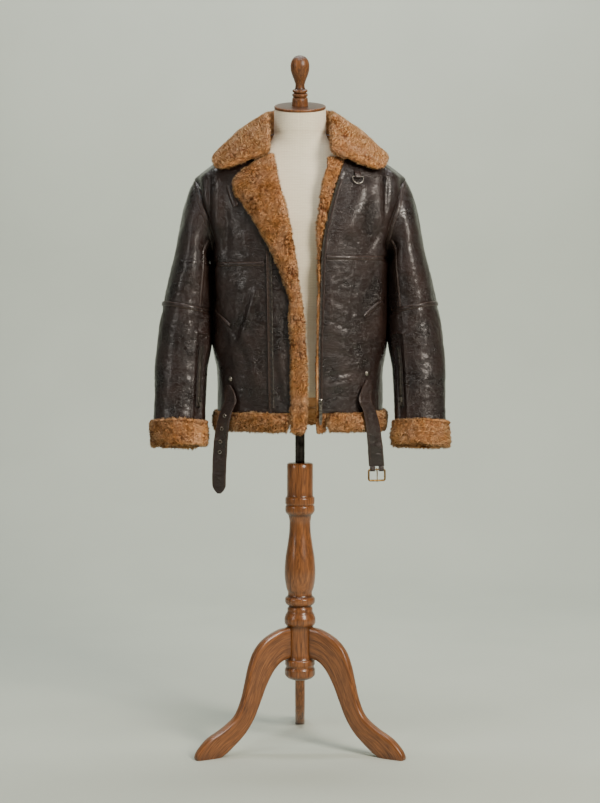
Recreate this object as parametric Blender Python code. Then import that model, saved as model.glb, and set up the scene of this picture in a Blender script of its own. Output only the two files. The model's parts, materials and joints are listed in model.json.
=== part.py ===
"""A shearling flying coat on a linen dress form with a turned wooden tripod stand.

Metres, +Z up. The coat faces -Y, so the wearer's right is at -X. The origin is on the floor, at the
middle of the whole object's footprint box; the stand's column stands a little in front of it.
Each piece of the coat is cut from one of two smooth surfaces, the body and the sleeve.
"""

import math

import bmesh
import bpy
import numpy as np

# ---- driving dimensions ----
AXIS_Y = -0.0571  # the column's axis, so that the footprint's middle is the origin
WALL = 0.004  # leather with its clipped wool, as one wall
SEAM = 0.0003  # between neighbouring pieces
TAPE = 0.0014  # a leather strip sewn over a seam
LIFT = 0.0005  # under a piece that lies on a panel

HEM_Z = 0.781  # lower edge of the leather
HEM_TRIM = 0.046  # height of the wool band under it
YOKE_RIGHT, YOKE_LEFT = 1.113, 1.127  # the level seams over the two fronts
PIT_Z, TIP_Z, NECK_Z = 1.140, 1.312, 1.412  # armpit, shoulder tip, neck seam at the side
ARMHOLE_FRONT = math.radians(27)
ARMHOLE_BACK = math.radians(30)
ELBOW, SLEEVE_END, CUFF_TOP, CUFF_LOW = 0.52, 1.012, 1.006, 1.115  # along the sleeve
SLEEVE_SEAM = math.radians(127)  # the taped seam on the inner front of the sleeve
LEG_THICK = 0.024
COLUMN_TOP = 0.659
FORM_BASE = 0.815
CAP_Z, CAP_TILT, NECK_R = 1.470, math.radians(16), 0.0585

# Body: height at the side, half width, depth to the front and back, how much the front and the back
# are higher than the side, and the power of the superellipse.
BODY = (
    (0.780, 0.190, 0.132, 0.128, 0.000, 0.000, 2.5),
    (0.860, 0.190, 0.135, 0.129, 0.000, 0.000, 2.5),
    (0.950, 0.193, 0.139, 0.131, 0.000, 0.000, 2.5),
    (1.050, 0.197, 0.142, 0.135, 0.000, 0.000, 2.5),
    (1.140, 0.201, 0.143, 0.139, 0.000, 0.000, 2.5),
    (1.200, 0.214, 0.141, 0.141, 0.003, 0.004, 2.5),
    (1.262, 0.237, 0.133, 0.139, 0.006, 0.010, 2.4),
    (1.312, 0.245, 0.120, 0.131, 0.004, 0.018, 2.3),
    (1.342, 0.203, 0.110, 0.118, 0.000, 0.022, 2.2),
    (1.368, 0.155, 0.102, 0.105, -0.010, 0.022, 2.1),
    (1.392, 0.110, 0.095, 0.090, -0.028, 0.020, 2.0),
    (1.412, 0.080, 0.089, 0.076, -0.044, 0.016, 2.0),
)
# Sleeve: place along it, outer and inner edge (x, z), half depth, and how far back its middle lies.
SLEEVE = (
    (0.00, 0.245, 1.312, 0.201, 1.140, 0.076, 0.004),
    (0.08, 0.260, 1.272, 0.207, 1.122, 0.082, 0.004),
    (0.18, 0.272, 1.217, 0.205, 1.106, 0.086, 0.003),
    (0.30, 0.286, 1.150, 0.2025, 1.082, 0.086, 0.000),
    (0.42, 0.303, 1.082, 0.2020, 1.043, 0.083, -0.004),
    (0.52, 0.314, 1.025, 0.2035, 1.003, 0.078, -0.009),
    (0.68, 0.326, 0.940, 0.207, 0.932, 0.068, -0.022),
    (0.84, 0.332, 0.852, 0.212, 0.850, 0.057, -0.040),
    (1.00, 0.332, 0.763, 0.215, 0.763, 0.049, -0.058),
    (1.12, 0.331, 0.696, 0.214, 0.698, 0.048, -0.071),
)
# Front edges, as (height, x): the fold of the right lapel, the zipped edge of the left front, the
# inner edge of its wool facing, and the right front's zip line.
RIGHT_FOLD = (
    (0.737, 0.0115), (0.800, 0.0155), (0.870, 0.0155), (0.945, 0.0110), (1.033, 0.0020),
    (1.118, -0.0100), (1.178, -0.0200), (1.255, -0.0355), (1.333, -0.0540), (1.365, -0.0620),
    (1.390, -0.0695), (1.410, -0.0675),
)
LEFT_EDGE = (
    (0.737, 0.0415), (0.810, 0.0405), (0.860, 0.0402), (0.945, 0.0415), (1.033, 0.0444),
    (1.118, 0.0466), (1.178, 0.0530), (1.244, 0.0680), (1.295, 0.0830), (1.333, 0.0960),
    (1.345, 0.1000), (1.365, 0.0970), (1.390, 0.0860), (1.410, 0.0765),
)
LEFT_FACING = (
    (0.737, 0.0385), (0.945, 0.0385), (1.033, 0.0410), (1.110, 0.0380), (1.167, 0.0365),
    (1.233, 0.0410), (1.300, 0.0510), (1.340, 0.0610),
)
ZIP_LINE = ((0.787, -0.0630), (1.151, -0.0690), (1.365, -0.0750))
# Right lapel, from the hem to the notch: (x, z) at the fold, then (x, z) at the free edge.
LAPEL = (
    (0.0115, 0.733, -0.0221, 0.733), (0.0150, 0.800, -0.0221, 0.800), (0.0150, 0.870, -0.0221, 0.870),
    (0.0110, 0.945, -0.0225, 0.944), (0.0020, 1.033, -0.0250, 1.030), (-0.0040, 1.085, -0.0360, 1.074),
    (-0.0100, 1.125, -0.0530, 1.120), (-0.0160, 1.160, -0.0740, 1.162), (-0.0270, 1.212, -0.1000, 1.208),
    (-0.0390, 1.265, -0.1260, 1.243), (-0.0480, 1.303, -0.1440, 1.272), (-0.0530, 1.326, -0.1465, 1.292),
    (-0.0560, 1.340, -0.1390, 1.308), (-0.0580, 1.348, -0.1240, 1.3180),
)
# Collar, from the back's middle to a front end: the foot of its stand as (degrees round, row) of the
# body, then its roll line and the outer edge of its fall.
COLLAR = (
    (0.00, (180, 1.402), (0.000, 0.087, 1.470), (0.000, 0.162, 1.400)),
    (0.25, (146, 1.402), (0.048, 0.074, 1.469), (0.094, 0.152, 1.394)),
    (0.50, (112, 1.402), (0.074, 0.033, 1.461), (0.166, 0.106, 1.376)),
    (0.70, (84, 1.400), (0.0735, -0.020, 1.447), (0.193, 0.035, 1.368)),
    (0.85, (60, 1.388), (0.0705, -0.065, 1.414), (0.197, -0.035, 1.356)),
    (0.94, (44, 1.370), (0.0690, -0.098, 1.380), (0.193, -0.085, 1.336)),
    (1.00, (35, 1.355), (0.0695, -0.114, 1.352), (0.176, -0.124, 1.314)),
)
# Linen form: height, half width, half depth, y of the middle.
FORM = (
    (0.815, 0.150, 0.104, 0.000), (0.828, 0.156, 0.110, 0.000), (0.880, 0.158, 0.111, 0.000),
    (0.960, 0.148, 0.103, 0.000), (1.040, 0.149, 0.104, -0.003), (1.130, 0.158, 0.111, -0.006),
    (1.200, 0.163, 0.111, -0.006), (1.260, 0.168, 0.100, -0.003), (1.310, 0.170, 0.085, 0.002),
    (1.336, 0.163, 0.076, 0.006), (1.352, 0.138, 0.071, 0.008), (1.367, 0.108, 0.067, 0.008),
    (1.382, 0.082, 0.063, 0.007), (1.396, 0.067, 0.0605, 0.005), (1.412, 0.0605, 0.0590, 0.002),
)
# Turned wood profiles, as (radius, height).
FINIAL = (
    (0.0185, 0.000), (0.0178, 0.016), (0.0150, 0.019), (0.0178, 0.023), (0.0178, 0.026), (0.0140, 0.029),
    (0.0172, 0.032), (0.0172, 0.035), (0.0118, 0.038), (0.0105, 0.046), (0.0130, 0.056), (0.0183, 0.070),
    (0.0212, 0.082), (0.0215, 0.091), (0.0190, 0.101), (0.0125, 0.1095), (0.0040, 0.1130),
)
COLUMN = (
    (0.0200, 0.156), (0.0290, 0.160), (0.0352, 0.168), (0.0352, 0.180), (0.0325, 0.184), (0.0325, 0.188),
    (0.0347, 0.191), (0.0347, 0.201), (0.0310, 0.2045), (0.0310, 0.2815), (0.0345, 0.285), (0.0361, 0.290),
    (0.0361, 0.297), (0.0334, 0.307), (0.0293, 0.316), (0.0293, 0.322), (0.0262, 0.327), (0.0330, 0.333),
    (0.0347, 0.338), (0.0347, 0.345), (0.0285, 0.352), (0.0280, 0.357), (0.0318, 0.370), (0.0350, 0.390),
    (0.0358, 0.405), (0.0345, 0.432), (0.0290, 0.470), (0.0250, 0.500), (0.0243, 0.520), (0.0270, 0.538),
    (0.0318, 0.5435), (0.0340, 0.548), (0.0340, 0.559), (0.0315, 0.562), (0.0340, 0.565), (0.0340, 0.578),
    (0.0310, 0.582), (0.0301, 0.585), (0.0301, 0.656), (0.0270, 0.659),
)
# Leg outline in its own plane, as (distance from the axis, height): the back of the curve, then the
# belly on the way back up.
LEG_BACK = (
    (0.0315, 0.280), (0.057, 0.2756), (0.094, 0.258), (0.1186, 0.233), (0.133, 0.200), (0.143, 0.160),
    (0.153, 0.122), (0.170, 0.088), (0.202, 0.064), (0.240, 0.044), (0.2634, 0.022), (0.272, 0.006),
    (0.2705, 0.000),
)
LEG_BELLY = (
    (0.208, 0.000), (0.188, 0.012), (0.150, 0.044), (0.125, 0.078), (0.1064, 0.118), (0.092, 0.151),
    (0.0735, 0.182), (0.054, 0.201), (0.0315, 0.209),
)


# ---- small tools ----
def clear_scene():
    for thing in list(bpy.data.objects):
        bpy.data.objects.remove(thing, do_unlink=True)


def make_material(name, colour, roughness, metallic=0.0):
    made = bpy.data.materials.new(name)
    made.use_nodes = True
    shader = made.node_tree.nodes["Principled BSDF"]
    shader.inputs["Base Color"].default_value = (*colour, 1)
    shader.inputs["Roughness"].default_value = roughness
    shader.inputs["Metallic"].default_value = metallic
    return made


def smooth(rows):
    """A monotone cubic through (x, y) rows. It holds the end values outside them."""
    xs = np.array([r[0] for r in rows], float)
    ys = np.array([r[1] for r in rows], float)
    step = np.diff(ys) / np.diff(xs)
    slope = np.zeros(len(xs))
    for i in range(1, len(xs) - 1):
        if step[i - 1] * step[i] > 0:
            slope[i] = 2 * step[i - 1] * step[i] / (step[i - 1] + step[i])
    slope[0], slope[-1] = step[0], step[-1]

    def value(x):
        x = min(max(x, xs[0]), xs[-1])
        i = min(int(np.searchsorted(xs, x, side="right")) - 1, len(xs) - 2)
        h = xs[i + 1] - xs[i]
        s = (x - xs[i]) / h
        return float(
            ys[i] * (1 + 2 * s) * (1 - s) ** 2
            + h * slope[i] * s * (1 - s) ** 2
            + ys[i + 1] * s * s * (3 - 2 * s)
            + h * slope[i + 1] * s * s * (s - 1)
        )

    return value


def columns(table):
    """One smooth function of the first column for each other column of a table."""
    return [smooth([(row[0], row[k]) for row in table]) for k in range(1, len(table[0]))]


def unit(v):
    v = np.asarray(v, float)
    return v / np.linalg.norm(v)


def add_solid(name, points, faces, look, flat=False):
    """A closed mesh whose faces are turned outwards, moved to stand round the column's axis."""
    mesh = bpy.data.meshes.new(name)
    shifted = [(float(p[0]), float(p[1]) + AXIS_Y, float(p[2])) for p in points]
    mesh.from_pydata(shifted, [], faces)
    work = bmesh.new()
    work.from_mesh(mesh)
    bmesh.ops.recalc_face_normals(work, faces=work.faces)
    work.to_mesh(mesh)
    work.free()
    mesh.materials.append(look)
    if not flat:
        mesh.shade_smooth()
        mesh.set_sharp_from_angle(angle=math.radians(50))
    made = bpy.data.objects.new(name, mesh)
    bpy.context.scene.collection.objects.link(made)
    return made


def wall(name, outer, inner, look, tube=False):
    """A solid between two grids of points of one size; a tube's columns close on themselves."""
    outer, inner = np.asarray(outer, float), np.asarray(inner, float)
    rows, cols = outer.shape[:2]
    points = np.concatenate([outer.reshape(-1, 3), inner.reshape(-1, 3)])
    half = rows * cols
    last = cols if tube else cols - 1
    faces = []
    for r in range(rows - 1):
        for c in range(last):
            a, b = r * cols + c, r * cols + (c + 1) % cols
            faces.append((a, b, b + cols, a + cols))
            faces.append((a + half, a + cols + half, b + cols + half, b + half))
    for r in (0, rows - 1):
        for c in range(last):
            a, b = r * cols + c, r * cols + (c + 1) % cols
            faces.append((a, a + half, b + half, b))
    if not tube:
        for c in (0, cols - 1):
            for r in range(rows - 1):
                a, b = r * cols + c, (r + 1) * cols + c
                faces.append((a, b, b + half, a + half))
    return add_solid(name, points, faces, look)


def loft(name, loops, look, ring=False, flat=False):
    """A solid through closed loops of one length; its ends are capped unless it is a ring."""
    loops = np.asarray(loops, float)
    n, k = loops.shape[:2]
    faces = []
    for i in range(n if ring else n - 1):
        a, b = i * k, (i + 1) % n * k
        faces += [(a + j, a + (j + 1) % k, b + (j + 1) % k, b + j) for j in range(k)]
    if not ring:
        faces += [tuple(range(k)), tuple((n - 1) * k + j for j in range(k))]
    return add_solid(name, loops.reshape(-1, 3), faces, look, flat)


def turned(name, profile, look, place=(0, 0, 0), tilt=0.0, sides=32):
    """A turned solid from (radius, height) rows, leaning towards -Y by tilt."""
    lean = np.array([[1, 0, 0], [0, math.cos(tilt), -math.sin(tilt)], [0, math.sin(tilt), math.cos(tilt)]])
    loops = []
    for radius, height in profile:
        ring = [
            (radius * math.cos(2 * math.pi * i / sides), radius * math.sin(2 * math.pi * i / sides), height)
            for i in range(sides)
        ]
        loops.append(np.asarray(ring) @ lean.T + place)
    return loft(name, loops, look)


# ---- the body surface ----
WIDTH, FRONT, BACK, FRONT_RISE, BACK_RISE, POWER = columns(BODY)
FOLD_SIZE = smooth(((0.90, 0.0), (1.10, 0.006), (1.24, 0.009), (1.32, 0.004), (1.36, 0.0)))


def body(phi, t):
    """A point of the coat's outer face: phi round from the front's middle towards +X, t the side height."""
    s, c = math.sin(phi), math.cos(phi)
    e = 2 / POWER(t)
    depth = FRONT(t) if c > 0 else BACK(t)
    rise = FRONT_RISE(t) if c > 0 else BACK_RISE(t)
    # The front hangs from the shoulder in a soft upright fold, with a trough towards the armhole.
    turn = math.degrees(abs(math.atan2(s, c)))
    fold = FOLD_SIZE(t) * (math.exp(-(((turn - 58) / 9) ** 2)) - math.exp(-(((turn - 75) / 8) ** 2)))
    x = (WIDTH(t) + fold) * math.copysign(abs(s) ** e, s)
    y = -(depth + fold) * math.copysign(abs(c) ** e, c)
    return np.array([x, y, t + rise * c * c])


def normal_of(surface, u, v, du=0.004, dv=0.004):
    """The unit normal of a surface of two parameters, by differences."""
    a = surface(u + du, v) - surface(u - du, v)
    b = surface(u, v + dv) - surface(u, v - dv)
    return unit(np.cross(a, b))


def body_normal(phi, t):
    return normal_of(body, phi, t)


def phi_at(x, t):
    """The angle on the front at which row t is at x."""
    ratio = min(1.0, abs(x) / WIDTH(t))
    return math.copysign(math.asin(ratio ** (POWER(t) / 2)), x)


def front_at(x, z):
    """(phi, t) of the front point at x and height z."""
    t = z
    for _ in range(20):
        phi = phi_at(x, t)
        t = min(max(t + z - body(phi, t)[2], HEM_Z - 0.06), NECK_Z)
    return phi_at(x, t), t


def on_front(x, z, height=0.0):
    """The point of the front at x and z, moved out from the leather by height. It runs on below the hem."""
    drop = min(0.0, z - HEM_Z)
    phi, t = front_at(x, z - drop)
    return body(phi, t) + height * body_normal(phi, t) + np.array([0, 0, drop])


def edge_phi(edge, t):
    """The angle of a front edge, given as x by height, on row t."""
    phi = 0.0
    for _ in range(12):
        phi = phi_at(edge(body(phi, t)[2]), t)
    return phi


ARM_MID, ARM_HALF = (PIT_Z + TIP_Z) / 2, (TIP_Z - PIT_Z) / 2


def armhole(psi):
    """(phi, t) of the armhole at +X: psi runs from the shoulder tip over the front to the armpit."""
    reach = ARMHOLE_FRONT if math.sin(psi) > 0 else ARMHOLE_BACK
    return math.pi / 2 - reach * math.sin(psi), ARM_MID + ARM_HALF * math.cos(psi)


def side_phi(t, reach):
    """How far round a panel goes on row t: to the side seam, or to the armhole."""
    off = (t - ARM_MID) / ARM_HALF
    return math.pi / 2 - (reach * math.sqrt(1 - off * off) if abs(off) < 1 else 0.0)


# ---- the sleeve surface ----
OUT_X, OUT_Z, IN_X, IN_Z, HALF_DEPTH, MIDDLE_Y = columns(SLEEVE)


def sleeve(psi, s):
    """A point of the +X sleeve's outer face: psi round from its outer edge over the front, s down it."""
    top = np.array([OUT_X(s), MIDDLE_Y(s), OUT_Z(s)])
    low = np.array([IN_X(s), MIDDLE_Y(s), IN_Z(s)])
    lean = 0.16 * min(1.0, max(0.0, (s - 0.3) / 0.5))
    front = np.array([0.0, -math.cos(lean), math.sin(lean)])
    point = (top + low) / 2 + (top - low) / 2 * math.cos(psi) + HALF_DEPTH(s) * math.sin(psi) * front
    if s < 0.18:  # it starts from the armhole's own curve
        share = (1 - max(s, 0.0) / 0.18) ** 2
        point = point * (1 - share) + body(*armhole(psi)) * share
    return point


def sleeve_normal(psi, s):
    a = sleeve(psi + 0.01, s) - sleeve(psi - 0.01, s)
    b = sleeve(psi, s + 0.01) - sleeve(psi, max(s - 0.01, 0.0))
    return unit(np.cross(a, b))


def armhole_normal(psi):
    """The direction in which both walls are thick at the armhole seam."""
    return unit(body_normal(*armhole(psi)) + sleeve_normal(psi, 0.004))


# ---- coat pieces ----
def mirror_if(points, flip):
    return np.asarray(points, float) * np.array([-1 if flip else 1, 1, 1])


ARM_STEPS = 10
ARM_ROWS = [ARM_MID + ARM_HALF * math.cos(math.pi * (1 - j / ARM_STEPS)) for j in range(ARM_STEPS + 1)]
LOW_ROWS = list(np.linspace(HEM_Z, 1.12, 10))
TOP_ROWS = [1.330, 1.350, 1.370, 1.390, NECK_Z]


def row_heights(low, high):
    """The rows of a panel between two side heights, with its ends half a seam in."""
    inside = [t for t in LOW_ROWS + ARM_ROWS + TOP_ROWS if low + 0.004 < t < high - 0.004]
    return [low + SEAM / 2, *inside, high - SEAM / 2]


def panel_row(t, start, end, cols):
    """Outer and inner points of one row, from one angle to another."""
    outer, inner = [], []
    gap = SEAM / 2 / WIDTH(t)
    for phi in np.linspace(start + gap, end - gap, cols):
        p, n = body(phi, t), body_normal(phi, t)
        off = (t - ARM_MID) / ARM_HALF
        if abs(off) < 1:
            psi = math.acos(off)
            at_front, at_back = side_phi(t, ARMHOLE_FRONT), math.pi - side_phi(t, ARMHOLE_BACK)
            if abs(abs(phi) - at_front) < 2 * gap:
                n = armhole_normal(psi)
            elif abs(abs(phi) - at_back) < 2 * gap:
                n = armhole_normal(-psi)
            if phi < 0 and (abs(abs(phi) - at_front) < 2 * gap or abs(abs(phi) - at_back) < 2 * gap):
                n = n * np.array([-1, 1, 1])
        outer.append(p)
        inner.append(p - WALL * n)
    return outer, inner


def body_panel(name, low, high, start, end, cols, look):
    """A panel of the body between two heights and two edges, given as angles by height."""
    rows = [panel_row(t, start(t), end(t), cols) for t in row_heights(low, high)]
    return wall(name, [r[0] for r in rows], [r[1] for r in rows], look)


def make_body(leather):
    fold, zip_line, left = smooth(RIGHT_FOLD), smooth(ZIP_LINE), smooth(LEFT_EDGE)
    right_edge = lambda t: edge_phi(lambda z: fold(z) - 0.009, t)
    seam_line = lambda t: edge_phi(zip_line, t)
    left_edge = lambda t: edge_phi(left, t)
    front_side = lambda t: side_phi(t, ARMHOLE_FRONT)
    back_side = lambda t: math.pi - side_phi(t, ARMHOLE_BACK)
    right_side = lambda t: -front_side(t)
    body_panel("front_right_lower", HEM_Z, YOKE_RIGHT, right_side, seam_line, 8, leather)
    body_panel("front_right_upper", YOKE_RIGHT, NECK_Z, right_side, right_edge, 9, leather)
    body_panel("front_fly", HEM_Z, YOKE_RIGHT, seam_line, right_edge, 4, leather)
    body_panel("front_left_lower", HEM_Z, YOKE_LEFT, left_edge, front_side, 9, leather)
    body_panel("front_left_upper", YOKE_LEFT, NECK_Z, left_edge, front_side, 9, leather)
    rows = []
    for t in row_heights(HEM_Z, NECK_Z):
        first = panel_row(t, back_side(t), math.pi, 9)
        rows.append([first[k] + [p * [-1, 1, 1] for p in first[k][-2::-1]] for k in (0, 1)])
    wall("back", [r[0] for r in rows], [r[1] for r in rows], leather)


SLEEVE_COLS = 20


def sleeve_piece(name, low, high, rows, flip, look, thick=WALL, puff=0.0):
    """A tube of the sleeve between two places along it. puff moves its outer face out."""
    outer, inner = [], []
    for i, s in enumerate(np.linspace(low, high, rows)):
        out_row, in_row = [], []
        for j in range(SLEEVE_COLS):
            psi = 2 * math.pi * j / SLEEVE_COLS
            n = armhole_normal(psi) if low < 0.01 and i == 0 else sleeve_normal(psi, s)
            p = sleeve(psi, s) + puff * n
            out_row.append(p)
            in_row.append(p - thick * n)
        outer.append(out_row)
        inner.append(in_row)
    return wall(name, mirror_if(outer, flip), mirror_if(inner, flip), look, tube=True)


def make_sleeves(leather, wool):
    for side, flip in (("left", False), ("right", True)):
        sleeve_piece(f"sleeve_{side}_upper", 0.0020, ELBOW - 0.0003, 11, flip, leather)
        sleeve_piece(f"sleeve_{side}_lower", ELBOW + 0.0003, SLEEVE_END, 9, flip, leather)
        cuff_loops = []
        for j in range(SLEEVE_COLS):
            psi = 2 * math.pi * j / SLEEVE_COLS
            loop = []
            # Round section of the turned-up cuff: place along the sleeve, then height off its surface.
            for s, h in (
                (CUFF_TOP, 0.0010), (CUFF_TOP - 0.006, 0.0045), (CUFF_TOP + 0.008, 0.0090), (1.045, 0.0105),
                (CUFF_LOW - 0.014, 0.0095), (CUFF_LOW, 0.0030), (CUFF_LOW - 0.010, -0.0050),
                (1.045, -0.0060), (SLEEVE_END + 0.003, -0.0050), (SLEEVE_END + 0.003, 0.0010),
            ):
                loop.append(sleeve(psi, s) + h * sleeve_normal(psi, s))
            cuff_loops.append(loop)
        loft(f"cuff_{side}", mirror_if(cuff_loops, flip), wool, ring=True)


def slab_on_front(name, rows, section, look):
    """A solid over rows of the front. A row is ((x, z) of its start, (x, z) of its end), and section
    gives its loop as (distance from the start, height off the leather) for the row's width."""
    loops = []
    for (x0, z0), (x1, z1) in rows:
        width = math.hypot(x1 - x0, z1 - z0)
        along = ((x1 - x0) / width, (z1 - z0) / width)
        loops.append([on_front(x0 + u * along[0], z0 + u * along[1], h) for u, h in section(width)])
    return loft(name, loops, look)


def lapel_section(w):
    """Round the front's folded edge and out over the leather."""
    under = [(f * w, 0.0014) for f in (0.90, 0.75, 0.60, 0.45, 0.32)]
    return (
        (w - 0.002, 0.0014), (w, 0.006), (w - 0.003, 0.0115), (0.75 * w, 0.0135), (0.5 * w, 0.0135),
        (0.25 * w, 0.0135), (0.003, 0.0115), (-0.001, 0.006), (-0.002, -0.001), (0.001, -0.007),
        (0.006, -0.0105), (0.017, -0.0105), (0.017, -0.0055), (0.0070, -0.0055), (0.0070, 0.0014),
        *under[::-1],
    )


def facing_section(w):
    """Behind the zipped edge, and past it towards the middle."""
    return (
        (0.0012, 0.0006), (0.5 * w, 0.0016), (w - 0.001, 0.0000), (w, -0.0050), (w - 0.001, -0.0100),
        (0.0, -0.0130), (-0.017, -0.0130), (-0.017, -0.0056), (0.0012, -0.0056),
    )


def make_facings(wool):
    lines = columns([(i, *row) for i, row in enumerate(LAPEL)])
    places = [[line(i) for line in lines] for i in np.linspace(0, len(LAPEL) - 1, 27)]
    slab_on_front("lapel_right", [((r[0], r[1]), (r[2], r[3])) for r in places], lapel_section, wool)
    edge, inner = smooth(LEFT_EDGE), smooth(LEFT_FACING)
    rows = [((edge(z), z), (inner(z), z)) for z in np.linspace(0.735, 1.336, 19)]
    slab_on_front("facing_left", rows, facing_section, wool)


def hem_loop(phi):
    """Section of the wool band round the hem, at one angle."""
    p, n = body(phi, HEM_Z), body_normal(phi, HEM_Z)
    n = unit(n * [1, 1, 0])
    shape = (
        (0.0010, -SEAM), (0.0075, 0.0015), (0.0110, -0.0100), (0.0115, -0.0280), (0.0080, -0.0420),
        (0.0010, -HEM_TRIM), (-0.0060, -0.0420), (-0.0080, -0.0250), (-0.0070, -SEAM),
    )
    loop = []
    for out, down in shape:
        down = min(down, -SEAM) if out < 0.0045 else down
        loop.append(p + out * n + np.array([0, 0, down]))
    return loop


def make_hem(wool):
    gap = SEAM / 2 / 0.19
    right = phi_at(smooth(LAPEL_FREE)(HEM_Z) - 0.0015, HEM_Z)
    left = phi_at(smooth(LEFT_EDGE)(HEM_Z) + 0.0185, HEM_Z)
    spans = {
        "hem_right": (-math.pi / 2 + gap, right, 9),
        "hem_left": (left, math.pi / 2 - gap, 9),
        "hem_back": (math.pi / 2 + gap, 3 * math.pi / 2 - gap, 19),
    }
    for name, (start, end, count) in spans.items():
        loft(name, [hem_loop(phi) for phi in np.linspace(start, end, count)], wool)


LAPEL_FREE = tuple((row[3], row[2]) for row in LAPEL[:4])


COLLAR_LINES = [
    smooth([(row[0], row[k][i]) for row in COLLAR]) for k in (1, 2, 3) for i in range(len(COLLAR[0][k]))
]


def collar_sheet(q, f):
    """The middle surface of the collar: q as in the table, f 0 at its foot, 1 at the roll, 2 at the edge."""
    v = [line(abs(q)) for line in COLLAR_LINES]
    foot = body(math.radians(v[0]), v[1]) + 0.0062 * body_normal(math.radians(v[0]), v[1])
    roll, edge = np.array(v[2:5]), np.array(v[5:8])
    if f <= 1:
        lean = 0.004 * math.sin(math.pi * f) * unit((roll - foot) * [1, 1, 0] + 1e-9)
        point = foot + (roll - foot) * f + lean
    else:
        g = f - 1
        out = unit((edge - roll) * [1, 1, 0])
        arch = 0.009 * math.sin(math.pi * g) * (1 - 0.4 * g)
        point = roll + (edge - roll) * g + arch * (out * 0.5 + np.array([0, 0, 0.85]))
    return point * [math.copysign(1, q), 1, 1]


def collar_normal(q, f):
    a = collar_sheet(q + 0.01, f) - collar_sheet(q - 0.01, f)
    b = collar_sheet(q, min(f + 0.05, 2)) - collar_sheet(q, max(f - 0.05, 0))
    return unit(np.cross(b, a))


def make_collar(wool):
    places = [-0.998, -0.97, -0.92, -0.85, -0.75, -0.62, -0.5, -0.38, -0.25, -0.12]
    places += [1e-6] + [-q for q in places[::-1]]
    section = ((0.0, 0.004), (0.35, 0.0042), (0.7, 0.0046), (1.0, 0.006), (1.25, 0.0068), (1.5, 0.0072),
               (1.75, 0.007), (1.93, 0.0055), (2.0, 0.003))
    outer, inner = [], []
    for q in places:
        end = 0.6 if abs(q) > 0.99 else 1.0
        outer.append([collar_sheet(q, f) + end * h * collar_normal(q, f) for f, h in section])
        inner.append([collar_sheet(q, f) - end * h * collar_normal(q, f) for f, h in section])
    wall("collar", outer, inner, wool)


def strip(name, path, look, width, thick=TAPE, lift=LIFT):
    """A flat strip along a path of (point, normal) pairs."""
    points = np.array([p for p, _ in path], float)
    along = np.gradient(points, axis=0)
    loops = []
    for (p, n), d in zip(path, along):
        across = unit(np.cross(n, d)) * width / 2
        low, high = lift * n, (lift + thick) * n
        loops.append([p - across + low, p + across + low, p + across * 0.94 + high, p - across * 0.94 + high])
    return loft(name, loops, look, flat=True)


def ring_strip(name, path, look, width, thick=TAPE, lift=LIFT):
    """A flat strip along a closed path of (point, normal) pairs."""
    n_points = len(path)
    loops = []
    for i, (p, n) in enumerate(path):
        d = path[(i + 1) % n_points][0] - path[i - 1][0]
        across = unit(np.cross(n, d)) * width / 2
        low, high = lift * n, (lift + thick) * n
        loops.append([p - across + low, p + across + low, p + across + high, p - across + high])
    return loft(name, loops, look, ring=True, flat=True)


def front_path(points):
    """Points given as (x, z), with their normals, on the front."""
    path = []
    for x, z in points:
        phi, t = front_at(x, z)
        path.append((body(phi, t), body_normal(phi, t)))
    return path


def sleeve_path(places, flip):
    """Points given as (psi, s), with their normals, on a sleeve."""
    path = [(sleeve(psi, s), sleeve_normal(psi, s)) for psi, s in places]
    return [(mirror_if(p, flip), mirror_if(n, flip)) for p, n in path]


def row_path(t, start, end, count):
    """A level line on the body between two angles."""
    return [(body(phi, t), body_normal(phi, t)) for phi in np.linspace(start, end, count)]


def make_tapes(leather):
    zip_line, left = smooth(ZIP_LINE), smooth(LEFT_EDGE)
    side = math.radians(65)
    last = phi_at(zip_line(YOKE_RIGHT) - 0.012, YOKE_RIGHT)
    strip("yoke_tape_right", row_path(YOKE_RIGHT, -side, last, 15), leather, 0.010, lift=0.0010)
    first = phi_at(left(YOKE_LEFT) + 0.0115, YOKE_LEFT)
    strip("yoke_tape_left", row_path(YOKE_LEFT, first, side, 17), leather, 0.010, lift=0.0010)
    for side, flip in (("left", False), ("right", True)):
        around = [(2 * math.pi * j / SLEEVE_COLS, ELBOW) for j in range(SLEEVE_COLS)]
        ring_strip(f"elbow_tape_{side}", sleeve_path(around, flip), leather, 0.011, lift=0.0010)
        down = [(SLEEVE_SEAM, s) for s in np.linspace(0.05, ELBOW - 0.016, 11)]
        strip(f"sleeve_tape_{side}", sleeve_path(down, flip), leather, 0.011, lift=0.0012)


def make_pockets(leather):
    for side, sign, x0, z0 in (("right", -1, 0.190, 1.009), ("left", 1, 0.177, 1.031)):
        places = [(sign * (x0 - 0.034 * f), z0 - 0.034 * f) for f in np.linspace(0, 1, 8)]
        strip(f"pocket_welt_{side}", front_path(places), leather, 0.011, thick=0.0022, lift=0.0016)


# ---- zips, rings, belts ----
def ring_plate(name, centre, axes, inner, outer, half, look):
    """A flat piece round a hole. inner and outer are its outlines in (a, b) of the frame's first two
    directions, point for point; it is as thick as twice half along the third."""
    u, v, w = (np.asarray(d, float) for d in axes)
    loops = []
    for (a0, b0), (a1, b1) in zip(inner, outer):
        near, far = centre + a0 * u + b0 * v, centre + a1 * u + b1 * v
        loops.append([near - half * w, far - half * w, far + half * w, near + half * w])
    return loft(name, loops, look, ring=True, flat=True)


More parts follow.
